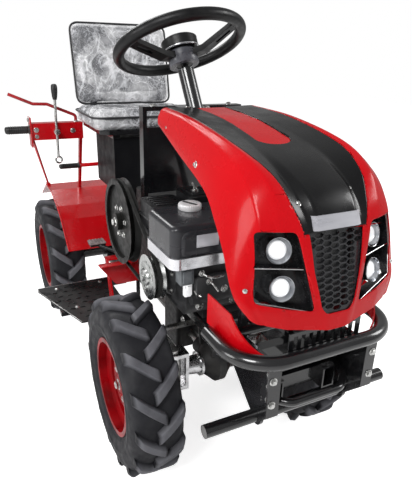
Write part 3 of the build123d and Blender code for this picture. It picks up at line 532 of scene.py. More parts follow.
def skin_line(row):
    """One section of the skin, as 3-D points from its right edge over the crown to its left edge."""
    cx, cz, fx, fz = row[:4]
    depth = math.hypot(fx - cx, fz - cz)
    half = [(0, row[5])] + list(zip(row[4:14:2], row[5:14:2])) + [(row[14], depth)]
    line = soft_corners(half, CORNER_REACH)
    edge, low = line[-2], line[-1]
    across = math.hypot(low[0] - edge[0], low[1] - edge[1])
    normal = ((low[1] - edge[1]) / across, -(low[0] - edge[0]) / across)
    flank = []
    for k in range(1, 6):
        part = k / 6
        out = FLANK_SWELL * 4 * part * (1 - part)
        flank.append((edge[0] + (low[0] - edge[0]) * part + normal[0] * out,
                      edge[1] + (low[1] - edge[1]) * part + normal[1] * out))
    line = line[:-1] + flank + [low]
    full = [(-y, s) for y, s in reversed(line[1:])] + line
    return [((cx + (fx - cx) / depth * s) / 1000, y / 1000, (cz + (fz - cz) / depth * s) / 1000)
            for y, s in full]


skin = [skin_line(row) for row in smooth_rows(SKIN_ROWS, ROW_STEPS)]
SKIN_COLS = len(skin[0])
MID_COL = SKIN_COLS // 2
RIDGE_COL = 8
normals_mesh = bpy.data.meshes.new("skin_normals")
normals_mesh.from_pydata(
    [p for line in skin for p in line], [],
    [(i * SKIN_COLS + j, (i + 1) * SKIN_COLS + j, (i + 1) * SKIN_COLS + j + 1, i * SKIN_COLS + j + 1)
     for i in range(len(skin) - 1) for j in range(SKIN_COLS - 1)])
outward = 1 if normals_mesh.vertices[MID_COL].normal.z > 0 else -1
skin_out = [[normals_mesh.vertices[i * SKIN_COLS + j].normal * outward for j in range(SKIN_COLS)]
            for i in range(len(skin))]


def skin_sheet(rows, cols, high, low):
    """A closed sheet over a run of rows and columns, from `high` to `low` metres below the outer face."""
    verts, faces, count = [], [], cols[1] - cols[0] + 1
    for depth in (high, low):
        for i in range(rows[0], rows[1] + 1):
            for j in range(cols[0], cols[1] + 1):
                verts.append(Vector(skin[i][j]) - skin_out[i][j] * depth)
    lines = rows[1] - rows[0] + 1
    under = lines * count
    for i in range(lines - 1):
        for j in range(count - 1):
            a = i * count + j
            faces.append((a, a + 1, a + count + 1, a + count))
            faces.append((under + a, under + a + count, under + a + count + 1, under + a + 1))
    rim = list(range(count)) + [i * count + count - 1 for i in range(1, lines)]
    rim += [(lines - 1) * count + j for j in range(count - 2, -1, -1)]
    rim += [i * count for i in range(lines - 2, 0, -1)]
    for a, b in zip(rim, rim[1:] + rim[:1]):
        faces.append((b, a, under + a, under + b))
    return verts, faces


def rounded_outline(points, radius, steps=6):
    """A closed outline of 2-D points with its corners rounded."""
    outline = []
    for before, corner, after in zip(points[-1:] + points[:-1], points, points[1:] + points[:1]):
        corner = Vector(corner)
        ends = []
        for other in (Vector(before), Vector(after)):
            span = (other - corner).length
            ends.append(corner + (other - corner) * min(radius / span, 0.45))
        for k in range(steps + 1):
            t = k / steps
            outline.append(ends[0] * (1 - t) ** 2 + corner * 2 * t * (1 - t) + ends[1] * t ** 2)
    return outline


def prism(outline, low, high, place):
    """A closed prism over a 2-D outline; place maps (u, v, height) into the scene."""
    verts = [place(p[0], p[1], low) for p in outline] + [place(p[0], p[1], high) for p in outline]
    n = len(outline)
    faces = [tuple(range(n)), tuple(range(2 * n - 1, n - 1, -1))]
    faces += [(k, (k + 1) % n, n + (k + 1) % n, n + k) for k in range(n)]
    return verts, faces


def bake(piece):
    """The mesh that the piece's modifiers make at this frame; they are taken off."""
    made = bpy.data.meshes.new_from_object(piece.evaluated_get(bpy.context.evaluated_depsgraph_get()))
    piece.modifiers.clear()
    return made


def carve(piece, cutters, operation="DIFFERENCE"):
    """Cuts closed bodies out of a piece, or keeps only what lies in them, and applies the result."""
    for cutter in cutters:
        tool = mesh_piece("cutter", cutter, piece.data.materials[0])
        cut = piece.modifiers.new("cut", "BOOLEAN")
        cut.operation = operation
        cut.solver = "EXACT"
        cut.object = tool
        bpy.context.view_layer.update()
        done = bake(piece)
        old = piece.data
        done.name = old.name
        piece.data = done
        bpy.data.objects.remove(tool)
        bpy.data.meshes.remove(old)
    piece.data.polygons.foreach_set("use_smooth", [True] * len(piece.data.polygons))
    piece.data.set_sharp_from_angle(angle=math.radians(35))
    return piece


red_paint = paint("gloss_red_paint", (0.55, 0.001, 0.005), 0.30, coat=0.14, specular=0.12,
    shades=((3, 2), (0.50, 0.0015, 0.005), (0.58, 0.0025, 0.007)), gloss=((18, 4), 0.2, 0.34),
    bumps=((280, 1), 0.05, 0.0005))
panel_black = paint("gloss_black_panel", (0.004, 0.004, 0.005), 0.26, coat=0.15, specular=0.25,
    shades=((6, 3), (0.003, 0.003, 0.0035), (0.006, 0.006, 0.0065)), gloss=((22, 4), 0.2, 0.38),
    bumps=((320, 1), 0.06, 0.0005))

PANEL_END = PANEL_ROWS * ROW_STEPS
SIDE_GAP = 0.0012
GRILLE_CUT = [(-0.066, 0.8530), (-0.057, 0.775), (-0.040, 0.700), (-0.028, 0.686),
              (0.028, 0.686), (0.040, 0.700), (0.057, 0.775), (0.066, 0.8530)]
TONGUE_HALF = 0.045
TONGUE_BEND = 0.628
LAMP_CUT = [(0.090, 0.852), (0.166, 0.855), (0.172, 0.718), (0.054, 0.694)]


def nose_prism(outline):
    """A cutter that runs along X through the nose."""
    return prism(outline, 0.79, 1.05, lambda y, z, x: (x, y, z))


shell_sheet = skin_sheet((0, len(skin) - 1), (0, SKIN_COLS - 1), 0.0, SKIN_T)
red_shell = mesh_piece("bonnet_red_shell", shell_sheet, red_paint, "painted_red")
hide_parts("bonnet_shell")
ridge_left, ridge_right = MID_COL + RIDGE_COL, MID_COL - RIDGE_COL
panel_verts, panel_faces = skin_sheet((0, PANEL_END), (ridge_right, ridge_left), -0.02, 0.05)
stretch = [(x - (0.03 if x < 0.3255 else 0), y, z) for x, y, z in panel_verts]
lamp_outline = rounded_outline(LAMP_CUT, 0.012)
carve(red_shell, [
    (stretch, panel_faces),
    nose_prism(rounded_outline(GRILLE_CUT, 0.008)),
    nose_prism(lamp_outline),
    nose_prism([(-y, z) for y, z in reversed(lamp_outline)])])
round_edges(red_shell, 0.0014)

panel_verts, panel_faces = skin_sheet((0, PANEL_END), (ridge_right, ridge_left), 0.0, SKIN_T)
shrunk = []
for x, y, z in panel_verts:
    shrunk.append((x - (SIDE_GAP if z < 0.856 else 0), y - math.copysign(SIDE_GAP, y) * (abs(y) > 0.05), z))
black_panel = mesh_piece("bonnet_black_panel", (shrunk, panel_faces), panel_black, "black_plastic")
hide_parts("bonnet_centre_panel")


def tongue_outline(grow):
    """The tongue seen from above: straight sides and a round front end."""
    half = TONGUE_HALF + grow
    line = [(0.30, half), (TONGUE_BEND, half)]
    for k in range(1, 16):
        turn = math.pi / 2 * (1 - k / 8)
        line.append((TONGUE_BEND + (0.034 + grow) * math.cos(turn), half * math.sin(turn)))
    return line + [(TONGUE_BEND, -half), (0.30, -half)]


def top_prism(outline):
    """A cutter that runs along Z through the bonnet's top."""
    return prism(outline, 0.93, 1.06, lambda x, y, z: (x, y, z))


carve(black_panel, [top_prism(tongue_outline(0.0))])
round_edges(black_panel, 0.0016)
tongue_sheet = skin_sheet((0, 2 * ROW_STEPS), (MID_COL - 4, MID_COL + 4), 0.0022, 0.0055)
red_tongue = mesh_piece("bonnet_red_tongue", tongue_sheet, red_paint, "painted_red")
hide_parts("bonnet_tongue")
carve(red_tongue, [top_prism([(0.32, 0.0443), *tongue_outline(-0.0007)[1:-1], (0.32, -0.0443)])], "INTERSECT")
round_edges(red_tongue, 0.0012)


def tube_path(points, radius, steps, shape, flat=1.0, up=(0, 0, 1)):
    """A round or flattened bar along points, with closed ends."""
    verts, faces = shape
    first, n = len(verts), len(points)
    points = [Vector(p) for p in points]
    for i, p in enumerate(points):
        along = (points[min(i + 1, n - 1)] - points[max(i - 1, 0)]).normalized()
        side = along.cross(Vector(up)).normalized()
        over = side.cross(along)
        for k in range(steps):
            turn = 2 * math.pi * k / steps
            spoke = side * (radius * math.cos(turn)) + over * (radius * flat * math.sin(turn))
            verts.append(tuple(p + spoke))
    cover_rings(first, steps, n, faces)


def skin_point(y, z):
    """The outer face of the nose at a height and a distance from the middle."""
    best = None
    for i in range(PANEL_END - 4, len(skin) - 1):
        for j in range(SKIN_COLS - 1):
            upper, lower = [[Vector(p) for p in skin[row][j:j + 2]] for row in (i, i + 1)]
            if not min(upper[0].y, upper[1].y) <= y <= max(upper[0].y, upper[1].y):
                continue
            part = (y - upper[0].y) / ((upper[1].y - upper[0].y) or 1)
            high = upper[0].lerp(upper[1], part)
            low = lower[0].lerp(lower[1], part)
            if min(high.z, low.z) <= z <= max(high.z, low.z):
                spot = high.lerp(low, (high.z - z) / ((high.z - low.z) or 1))
                if best is None or spot.x > best.x:
                    best = spot
    return best


# The two bolts in the channels beside the hump, and the small screws that hold the shell to its stays
shape = [], []
CHANNEL_BOLT = [(0, -0.004), (0.0072, -0.004), (0.0072, 0.0008), (0.0062, 0.0016), (0.0048, 0.0020),
                (0.0044, 0.0042), (0.0030, 0.0056), (0, 0.0060)]
CHEEK_SCREW = [(0, -0.004), (0.0052, -0.004), (0.0052, 0.0006), (0.0040, 0.0022), (0.0018, 0.0030),
               (0, 0.0031)]
BOLT_SPOTS = [
    # place, direction
    ((0.8342, -0.0712, 0.8955), (0.55, -0.05, 0.83)), ((0.8165, 0.0662, 0.9066), (0.5, 0.05, 0.86)),
    ((0.6, -0.1728, 0.928), (0, -1, 0.22)), ((0.6, 0.1728, 0.928), (0, 1, 0.22)),
    ((0.39, -0.1512, 0.975), (0, -1, 0.25)), ((0.39, 0.1512, 0.975), (0, 1, 0.25))]
for place, along in BOLT_SPOTS:
    turned(CHANNEL_BOLT, 18, axis_frame(place, along), shape)
for side in (-1, 1):
    turned(CHEEK_SCREW, 16, axis_frame(skin_point(side * 0.185, 0.742), (0.86, side * 0.5, 0.05)), shape)
mesh_piece("bonnet_screws", shape, zinc, "bright_steel", 30)


# Nose: a satin silver strip over the hump, and below it a moulded black honeycomb grille that is clipped in
# from behind.

silver_paint = paint("satin_silver_strip", (0.56, 0.56, 0.60), 0.34, metallic=0.35,
    shades=((30, 3, (1, 0.2, 1)), (0.48, 0.48, 0.52), (0.64, 0.64, 0.68)),
    gloss=((60, 3, (1, 0.1, 1)), 0.24, 0.42), bumps=((400, 1), 0.06, 0.0003))
grille_black = paint("moulded_grille_plastic", (0.020, 0.020, 0.022), 0.18, specular=0.9,
    shades=((40, 3), (0.014, 0.014, 0.016), (0.032, 0.032, 0.035)), gloss=((120, 2), 0.14, 0.28),
    bumps=((600, 2), 0.1, 0.0004))
finish_node("nose_strip", silver_paint, 0.0008)
finish_node("grille", grille_black, 0.0012)

# A black sheet closes the space behind the honeycomb: painted shade for the dark inside of the nose
BACKING = [(-0.060, 0.846), (-0.050, 0.775), (-0.036, 0.700), (-0.026, 0.6865),
           (0.026, 0.6865), (0.036, 0.700), (0.050, 0.775), (0.060, 0.846)]
shape = prism(BACKING, -0.001, 0.001, lambda y, z, d: (0.846 + (0.85 - z) * 0.236 + d, y, z))
mesh_piece("grille_shade_sheet", shape, grille_black, "black_plastic", 30)


# Lamps: two on each side in a gloss black housing. Each is a chromed bowl with a white glass lens at its
# bottom. A black shelf with a bright edge parts the two, and a bright line closes the window's lower side.

lamp_black = paint("lamp_housing_plastic", (0.010, 0.010, 0.011), 0.2, specular=0.6,
    shades=((30, 3), (0.006, 0.006, 0.007), (0.018, 0.018, 0.020)), gloss=((90, 2), 0.12, 0.3),
    bumps=((500, 2), 0.08, 0.0004))
chrome = paint("bright_chrome", (0.80, 0.80, 0.81), 0.08, metallic=1.0,
    shades=((24, 3), (0.70, 0.70, 0.71), (0.86, 0.86, 0.87)), gloss=((80, 2), 0.04, 0.16),
    bumps=((200, 1), 0.03, 0.0003))
lens_glass = paint("white_lens_glass", (0.90, 0.91, 0.92), 0.1, coat=0.5,
    shades=((60, 2), (0.84, 0.85, 0.87), (0.95, 0.95, 0.96)), gloss=((90, 2), 0.06, 0.16),
    bumps=((240, 1), 0.12, 0.0006))
lens_glow_sockets = lens_glass.node_tree.nodes["Principled BSDF"].inputs
# The white glass glows a little: painted light, in the unlit lamp lenses and in the white stop switch made of
# it
lens_glow_sockets["Emission Color"].default_value = WHITE
lens_glow_sockets["Emission Strength"].default_value = 0.3
reflector = paint("grey_chrome_reflector", (0.42, 0.43, 0.45), 0.14, metallic=1.0,
    shades=((40, 3), (0.30, 0.31, 0.33), (0.55, 0.56, 0.58)), gloss=((90, 2), 0.08, 0.22),
    bumps=((180, 1), 0.1, 0.0005))
finish_node("lamp_housings", lamp_black, 0.0008)

LAMP_CENTRE = (0.866, 0.120, 0.770)
LAMP_FACING = (0.94, 0.263, 0.225)
LAMP_SPOTS = [(0.001, 0.046), (-0.006, -0.028)]
LAMP_BOWL = [(0, -0.0345), (0.0245, -0.0345), (0.0245, -0.0085), (0.0264, -0.0080), (0.0264, -0.0048),
             (0.0256, -0.0036), (0.0248, -0.0040), (0.0242, -0.0070), (0.0232, -0.0115), (0.0218, -0.0150),
             (0.0200, -0.0174), (0.0150, -0.0188), (0, -0.0190)]
LAMP_LENS = [(0, -0.0180), (0.0180, -0.0176), (0.0185, -0.0140), (0.0172, -0.0112), (0.0140, -0.0092),
             (0.0090, -0.0078), (0.0045, -0.0072), (0, -0.0070)]


def lamp_frame(side):
    """The slanted plane of one side's lamps: x runs outward, z faces forward."""
    facing = Vector((LAMP_FACING[0], side * LAMP_FACING[1], LAMP_FACING[2])).normalized()
    outwards = Vector((-0.27, side * 0.963, 0))
    outwards = (outwards - facing * outwards.dot(facing)).normalized()
    upwards = facing.cross(outwards) * side
    return Matrix((
        (outwards.x, upwards.x, facing.x, LAMP_CENTRE[0]),
        (outwards.y, upwards.y, facing.y, side * LAMP_CENTRE[1]),
        (outwards.z, upwards.z, facing.z, LAMP_CENTRE[2]),
        (0, 0, 0, 1)))


bowls, lenses, shelves, edges = ([], []), ([], []), ([], []), ([], [])
for side in (-1, 1):
    plane = lamp_frame(side)
    for u, v in LAMP_SPOTS:
        turned(LAMP_BOWL, 48, plane @ Matrix.Translation((u, v, 0)), bowls)
        turned(LAMP_LENS, 48, plane @ Matrix.Translation((u, v, 0)), lenses)
    parting = [(u, 0.0115 + 0.004 * (u / 0.055)) for u in (-0.048, -0.02, 0.01, 0.035, 0.052)]
    first = len(shelves[0])
    for u, v in parting:
        middle = plane @ Vector((u, v, -0.016))
        for up, ahead in ((-0.0016, -0.012), (-0.0012, 0.0118), (0.0012, 0.0118), (0.0016, -0.012)):
            shelves[0].append(tuple(middle + plane.col[1].xyz * up + plane.col[2].xyz * ahead))
    cover_rings(first, 4, len(parting), shelves[1])
    tube_path([plane @ Vector((u, v, -0.0035)) for u, v in parting], 0.0013, 10, edges)
    low = [(0.050, -0.0515), (0.02, -0.0585), (-0.02, -0.0675), (-0.058, -0.0762)]
    tube_path([plane @ Vector((u, v, -0.0045)) for u, v in low], 0.0016, 10, edges)
lamp_bowls = mesh_piece("chromed_lamp_bowls", bowls, reflector, "chrome", 30)
mesh_piece("lamp_lenses", lenses, lens_glass, "lens", 40)
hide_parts("headlamps")
mesh_piece("lamp_shelves", shelves, lamp_black, "black_plastic", 30)
mesh_piece("bright_lamp_edges", edges, chrome, "chrome", 40)


# Bumper: a bent steel hoop and a straight lower tube, welded and bolted to two side plates, all sprayed gloss
# black. Behind the hoop stand the red skirt sheets, and a slotted black guard below the grille.

for name in ("bumper_hoop", "bumper_low_tube", "bumper_brackets"):
    finish_node(name, black_paint)
finish_node("nose_skirt", red_paint, 0.0008)
finish_node("nose_guard", black_paint, 0.0008)
shape = [], []
for side in (-1, 1):
    for x, z in ((0.868, 0.545), (0.868, 0.515), (0.868, 0.482), (0.720, 0.508)):
        add_bolt(shape, (x, side * 0.120, z), (0, side, 0), 0.013, 0.007)
    for z in (0.548, 0.490):
        add_bolt(shape, (0.892, side * 0.131, z), (1, 0, 0), 0.011, 0.006)
    cap = axis_frame((0.822, side * 0.2475, 0.407), (0, side, 0))
    turned([(0, -0.004), (0.0128, -0.004), (0.0128, -0.0004), (0.0118, 0.0004), (0, 0.0004)], 28, cap, shape)
mesh_piece("bumper_bolts", shape, zinc, "bright_steel", 30)


# Engine: an air-cooled single in cast alloy, blackened by its paint, with a shroud, a side cover and a
# carburettor. Its small controls sit under the tank: a grey throttle box, a white switch and a few levers.

def add_slab(shape, low, high, radius, steps=3, turn=None):
    """A rounded block between two corners, its edges rolled to the radius."""
    verts, faces = shape
    body = bmesh.new()
    bmesh.ops.create_cube(body, size=1.0)
    size = [b - a for a, b in zip(low, high)]
    for v in body.verts:
        v.co = Vector([a + (c + 0.5) * s for a, c, s in zip(low, v.co, size)])
    bmesh.ops.bevel(body, geom=body.edges[:], offset=radius, segments=steps, affect="EDGES", profile=0.5)
    if turn:
        middle = Vector([(a + b) / 2 for a, b in zip(low, high)])
        for v in body.verts:
            v.co = middle + turn @ (v.co - middle)
    first = len(verts)
    body.verts.index_update()
    verts.extend(tuple(v.co) for v in body.verts)
    faces.extend(tuple(first + v.index for v in f.verts) for f in body.faces)
    body.free()


engine_black = paint("blackened_engine_casting", (0.020, 0.020, 0.022), 0.42, specular=0.5,
    shades=((16, 5), (0.010, 0.010, 0.011), (0.045, 0.045, 0.047)), gloss=((50, 3), 0.28, 0.6),
    bumps=((380, 3), 0.3, 0.0008))
satin_black = paint("satin_black_steel", (0.008, 0.008, 0.009), 0.34, specular=0.35,
    shades=((12, 5), (0.005, 0.005, 0.006), (0.014, 0.014, 0.015)), gloss=((40, 3), 0.24, 0.5),
    bumps=((300, 2), 0.12, 0.0005))
grey_box = paint("grey_control_plastic", (0.12, 0.13, 0.14), 0.45,
    shades=((30, 4), (0.09, 0.10, 0.11), (0.16, 0.17, 0.18)), gloss=((70, 3), 0.35, 0.6),
    bumps=((400, 2), 0.2, 0.0005))
finish_node("engine_block", engine_black, 0.002)
finish_node("muffler", satin_black, 0.0025)
finish_node("air_cleaner", satin_black, 0.0025)
finish_node("recoil_starter", satin_black, 0.002)

shape = [], []
add_slab(shape, (0.545, -0.196, 0.628), (0.578, -0.160, 0.676), 0.003)
add_slab(shape, (0.578, -0.190, 0.636), (0.5825, -0.168, 0.668), 0.0012)
mesh_piece("throttle_box", shape, grey_box, "grey_plastic", 40)
shape = [], []
add_slab(shape, (0.545, -0.176, 0.586), (0.560, -0.156, 0.622), 0.002)
add_slab(shape, (0.5600, -0.171, 0.606), (0.5660, -0.161, 0.618), 0.0012,
         turn=Matrix.Rotation(math.radians(9), 3, "Y"))
mesh_piece("stop_switch", shape, lens_glass, "lens", 40)

SHAFT_X, SHAFT_Z = 0.420, 0.590
STARTER_X = 0.440
# The engine's bright small parts: control levers, screws of the covers, the drain plug and the fuel tap
shape = [], []
CONTROL_LEVERS = [
    # radius, then the bent line
    (0.0028, (0.575, -0.140, 0.654), (0.590, -0.132, 0.650), (0.597, -0.112, 0.645), (0.597, -0.090, 0.648)),
    (0.0024, (0.577, -0.118, 0.628), (0.590, -0.112, 0.622), (0.592, -0.100, 0.604)),
    (0.0022, (0.560, -0.150, 0.600), (0.572, -0.150, 0.596), (0.576, -0.140, 0.588))]
for radius, *line in CONTROL_LEVERS:
    tube_path(line, radius, 8, shape)
FRONT_BOLTS = [
    # width, then the place
    (0.010, 0.578, -0.140, 0.654), (0.010, 0.577, -0.118, 0.628), (0.012, 0.577, -0.075, 0.600),
    (0.014, 0.5452, -0.128, 0.545), (0.014, 0.5452, -0.030, 0.545), (0.011, 0.5465, -0.145, 0.566)]
for across, *place in FRONT_BOLTS:
    add_bolt(shape, place, (1, 0, 0), across, across * 0.55)
bolt_circle(shape, (SHAFT_X, -0.1705, SHAFT_Z), -1, 0.050, 6, 0.4, 0.009, 0.005)
for x, z in ((0.372, 0.505), (0.372, 0.632), (0.525, 0.505), (0.525, 0.632)):
    add_bolt(shape, (x, -0.1652, z), (0, -1, 0), 0.010, 0.006)
mesh_piece("engine_bright_parts", shape, zinc, "bright_steel", 30)

# Ribs and seams of the covers on top, and the ribbed cover of the pull starter on the left
shape = [], []
for k in range(5):
    x = 0.318 + 0.0165 * k
    add_slab(shape, (x, -0.184, 0.7735), (x + 0.008, -0.115, 0.7785), 0.0018, 2)
add_slab(shape, (0.2985, -0.2005, 0.728), (0.4055, -0.0985, 0.7325), 0.0012, 2)
add_slab(shape, (0.2905, -0.0935, 0.748), (0.4055, -0.0135, 0.7525), 0.0012, 2)
add_slab(shape, (0.312, -0.078, 0.7885), (0.386, -0.030, 0.7945), 0.0025, 2)
for k in range(8):
    angle = 2 * math.pi * k / 8
    spoke = [Vector((STARTER_X + r * math.cos(angle), y, SHAFT_Z + r * math.sin(angle)))
             for r, y in ((0.026, 0.0975), (0.044, 0.0955), (0.062, 0.0935))]
    tube_path(spoke, 0.004, 8, shape)
mesh_piece("engine_cover_ribs", shape, satin_black, "black_plastic", 40)
shape = [], []
NUT_X, NUT_Y = 0.349, -0.054
turned([(0, -0.001), (0.011, -0.001), (0.011, 0.003), (0.006, 0.005), (0.006, 0.011), (0, 0.012)], 20,
       axis_frame((NUT_X, NUT_Y, 0.7945), (0, 0, 1)), shape)
for out in (1, -1):
    wing = [(NUT_X + out * reach, NUT_Y, z) for reach, z in ((0, 0.803), (0.010, 0.806), (0.018, 0.811))]
    tube_path(wing, 0.0024, 8, shape)
mesh_piece("air_cleaner_wing_nut", shape, zinc, "bright_steel", 40)


# Fuel tank: pressed steel in dark grey enamel with a raised panel on its front, over a bright trim band. A
# satin-plated cap with a black finger bar closes its neck, and a blank bright plate is riveted on.

tank_grey = paint("dark_grey_tank_enamel", (0.022, 0.022, 0.025), 0.24, coat=0.2, specular=0.25,
    shades=((7, 3), (0.018, 0.018, 0.021), (0.028, 0.028, 0.032)), gloss=((18, 4), 0.2, 0.36),
    bumps=((320, 1), 0.06, 0.0005))
band_steel = paint("bright_trim_band", (0.78, 0.78, 0.80), 0.18, metallic=0.85,
    shades=((10, 3, (1, 1, 0.2)), (0.62, 0.62, 0.65), (0.88, 0.88, 0.90)), gloss=((40, 2), 0.12, 0.28),
    bumps=((300, 1), 0.04, 0.0003))
finish_node("fuel_tank", tank_grey, 0.001)
finish_node("tank_band", band_steel, 0.002)

TANK_FRONT = 0.585
PANEL_RAISED = [(-0.192, 0.7120), (-0.192, 0.7560), (-0.180, 0.7660),
                (0.012, 0.7660), (0.024, 0.7560), (0.024, 0.7120)]
shape = [], []
panel_line = rounded_outline(PANEL_RAISED, 0.010, 5)
for grow, out in ((0.007, -0.001), (0.0055, 0.0030), (0.0015, 0.0052), (-0.003, 0.0056)):
    for y, z in panel_line:
        toward = Vector((y + 0.084, (z - 0.739) * 3)).normalized()
        shape[0].append((TANK_FRONT + out, y + toward.x * grow, z + toward.y * grow))
cover_rings(0, len(panel_line), 4, shape[1])
mesh_piece("tank_front_panel", shape, tank_grey, "grey_plastic", 40)
shape = [], []
add_slab(shape, (TANK_FRONT + 0.005, -0.162, 0.7290), (TANK_FRONT + 0.0075, -0.104, 0.7600), 0.0010, 2)
for y, z in ((-0.157, 0.7340), (-0.157, 0.7550), (-0.109, 0.7340), (-0.109, 0.7550)):
    turned([(0, 0), (0.0022, 0), (0.0016, 0.0012), (0, 0.0015)], 12,
           axis_frame((TANK_FRONT + 0.0073, y, z), (1, 0, 0)), shape)
mesh_piece("blank_plate", shape, silver_paint, "silver_paint", 30)

cap_plating = paint("satin_cap_plating", (0.80, 0.79, 0.80), 0.34, metallic=0.25,
    shades=((30, 3), (0.70, 0.69, 0.70), (0.86, 0.85, 0.86)), gloss=((80, 2), 0.26, 0.44),
    bumps=((300, 1), 0.05, 0.0003))
CAP_PLACE = (0.460, -0.120, 0.781)
shape = [], []
cap_frame = axis_frame(CAP_PLACE, (0, 0, 1))
CAP_RIBS = 36
CAP_RINGS = [
    # radius, height, how deep the ribs are there
    (0.0290, 0.0003, 0), (0.0302, 0.0015, 1), (0.0302, 0.0115, 1), (0.0285, 0.0145, 0.6), (0.0255, 0.0156, 0),
    (0.0130, 0.0150, 0), (0.0001, 0.0148, 0)]
for radius, height, deep in CAP_RINGS:
    for k in range(CAP_RIBS * 2):
        angle = math.pi * k / CAP_RIBS
        r = radius - (0.0011 if k % 2 else 0) * deep
        shape[0].append(tuple(cap_frame @ Vector((r * math.cos(angle), r * math.sin(angle), height))))
cover_rings(0, CAP_RIBS * 2, len(CAP_RINGS), shape[1])
cap = mesh_piece("chromed_fuel_cap", shape, cap_plating, "chrome", 34)
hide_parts("fuel_cap")
shape = [], []
add_slab(shape, (0.436, -0.1245, 0.7955), (0.484, -0.1155, 0.7968), 0.0006, 2,
         turn=Matrix.Rotation(math.radians(25), 3, "Z"))
mesh_piece("fuel_cap_bar", shape, satin_black, "black_plastic", 30)


# Belt drive: a turned steel pulley on the engine's shaft, a big pressed pulley on the gearbox, and the rubber
# belt in their grooves.

pulley_steel = paint("turned_pulley_steel", (0.50, 0.51, 0.50), 0.30, metallic=1.0,
    shades=((20, 4), (0.40, 0.41, 0.40), (0.60, 0.61, 0.60)), gloss=((60, 3), 0.16, 0.4),
    bumps=((300, 2), 0.04, 0.0002))
DRIVEN_X, DRIVEN_Z = 0.165, 0.665
belt_rubber = paint("belt_rubber", (0.012, 0.012, 0.012), 0.7, specular=0.3,
    shades=((50, 3), (0.008, 0.008, 0.008), (0.022, 0.022, 0.021)), gloss=((90, 2), 0.6, 0.85),
    bumps=((700, 2), 0.4, 0.0006))
finish_node("engine_pulley", pulley_steel, 0.0015)
pulley_black = paint("blackened_pulley_iron", (0.006, 0.006, 0.006), 0.42, specular=0.15,
    shades=((14, 5), (0.004, 0.004, 0.004), (0.012, 0.012, 0.011)), gloss=((50, 3), 0.3, 0.55),
    bumps=((260, 2), 0.15, 0.0005))
finish_node("driven_pulley", pulley_black, 0.0018)
finish_node("drive_belt", belt_rubber, 0.0008)
shape = [], []
turned([(0, -0.002), (0.044, -0.002), (0.044, 0.0008), (0.041, 0.0022), (0.022, 0.0016), (0.020, 0.006),
        (0.014, 0.0075), (0, 0.0075)], 40, axis_frame((SHAFT_X, -0.224, SHAFT_Z), (0, -1, 0)), shape)
add_bolt(shape, (SHAFT_X, -0.2312, SHAFT_Z), (0, -1, 0), 0.014, 0.008)
bolt_circle(shape, (SHAFT_X, -0.2258, SHAFT_Z), -1, 0.031, 3, 0.5, 0.008, 0.004)
mesh_piece("pulley_face_plate", shape, pulley_steel, "bright_steel", 30)
shape = [], []
bolt_circle(shape, (DRIVEN_X, -0.2138, DRIVEN_Z), -1, 0.046, 6, 0.2, 0.011, 0.006)
add_bolt(shape, (DRIVEN_X, -0.2300, DRIVEN_Z), (0, -1, 0), 0.018, 0.010)
mesh_piece("driven_pulley_bolts", shape, zinc, "bright_steel", 30)


# Steering: a gloss black steel column clamped by the dash frame, and a hand wheel of moulded black plastic
# over a steel core. A grey sleeve covers its boss, and a domed cap with a bright ring closes it.

WHEEL_HUB = Vector((0.198, -0.036, 1.165))
COLUMN_AXIS = Vector((-0.428935, -0.078731, 0.899898))
hub_frame = axis_frame(WHEEL_HUB, COLUMN_AXIS)
wheel_plastic = paint("moulded_wheel_plastic", (0.004, 0.004, 0.0045), 0.34, specular=0.3,
    shades=((20, 4), (0.003, 0.003, 0.0035), (0.007, 0.007, 0.0075)), gloss=((60, 3), 0.28, 0.5),
    bumps=((520, 2), 0.25, 0.0005))
boss_grey = paint("grey_boss_sleeve", (0.085, 0.088, 0.105), 0.26, specular=0.6,
    shades=((24, 3), (0.065, 0.068, 0.082), (0.115, 0.118, 0.138)), gloss=((60, 2), 0.22, 0.4),
    bumps=((400, 2), 0.1, 0.0004))
finish_node("steering_column", black_paint, 0.001)
finish_node("dash_panel", black_paint, 0.0015)
finish_node("steering_wheel", wheel_plastic, 0.004)
shape = [], []
turned([(0, 0.0080), (0.0502, 0.0080), (0.0504, 0.0105), (0.0490, 0.0130), (0.0450, 0.0154), (0.0370, 0.0174),
        (0.0240, 0.0188), (0.0110, 0.0194), (0, 0.0195)], 56, hub_frame, shape)
mesh_piece("wheel_centre_cap", shape, wheel_plastic, "black_plastic", 50, "steering_wheel")
shape = [], []
turned([(0.0480, -0.0172), (0.0512, -0.0168), (0.0518, -0.0150), (0.0512, -0.0132), (0.0480, -0.0128)], 56,
       hub_frame, shape)
turned([(0.0480, -0.0128), (0.0480, -0.0172)], 56, hub_frame, shape)
mesh_piece("wheel_cap_ring", shape, band_steel, "silver_paint", 50, "steering_wheel")
shape = [], []
turned([(0.0230, -0.0580), (0.0400, -0.0580), (0.0412, -0.0565), (0.0416, -0.0250), (0.0405, -0.0205),
        (0.0380, -0.0190)], 56, hub_frame, shape)
turned([(0.0380, -0.0190), (0.0380, -0.0300), (0.0230, -0.0560), (0.0230, -0.0580)], 56, hub_frame, shape)
mesh_piece("wheel_boss_sleeve", shape, boss_grey, "grey_plastic", 40, "steering_wheel")
shape = [], []
for x, y in ((0.288, -0.050), (0.288, 0.008), (0.206, -0.120), (0.206, 0.120)):
    add_bolt(shape, (x, y, 1.006), (0, 0, 1), 0.012, 0.006)
mesh_piece("dash_bolts", shape, zinc, "bright_steel", 30)


# Seat: foam pads covered in black vinyl with a sewn piping, on a black pan and a sheet-steel box. The pads
# swell between their seams, and both still wear the thin clear film that they were shipped in.

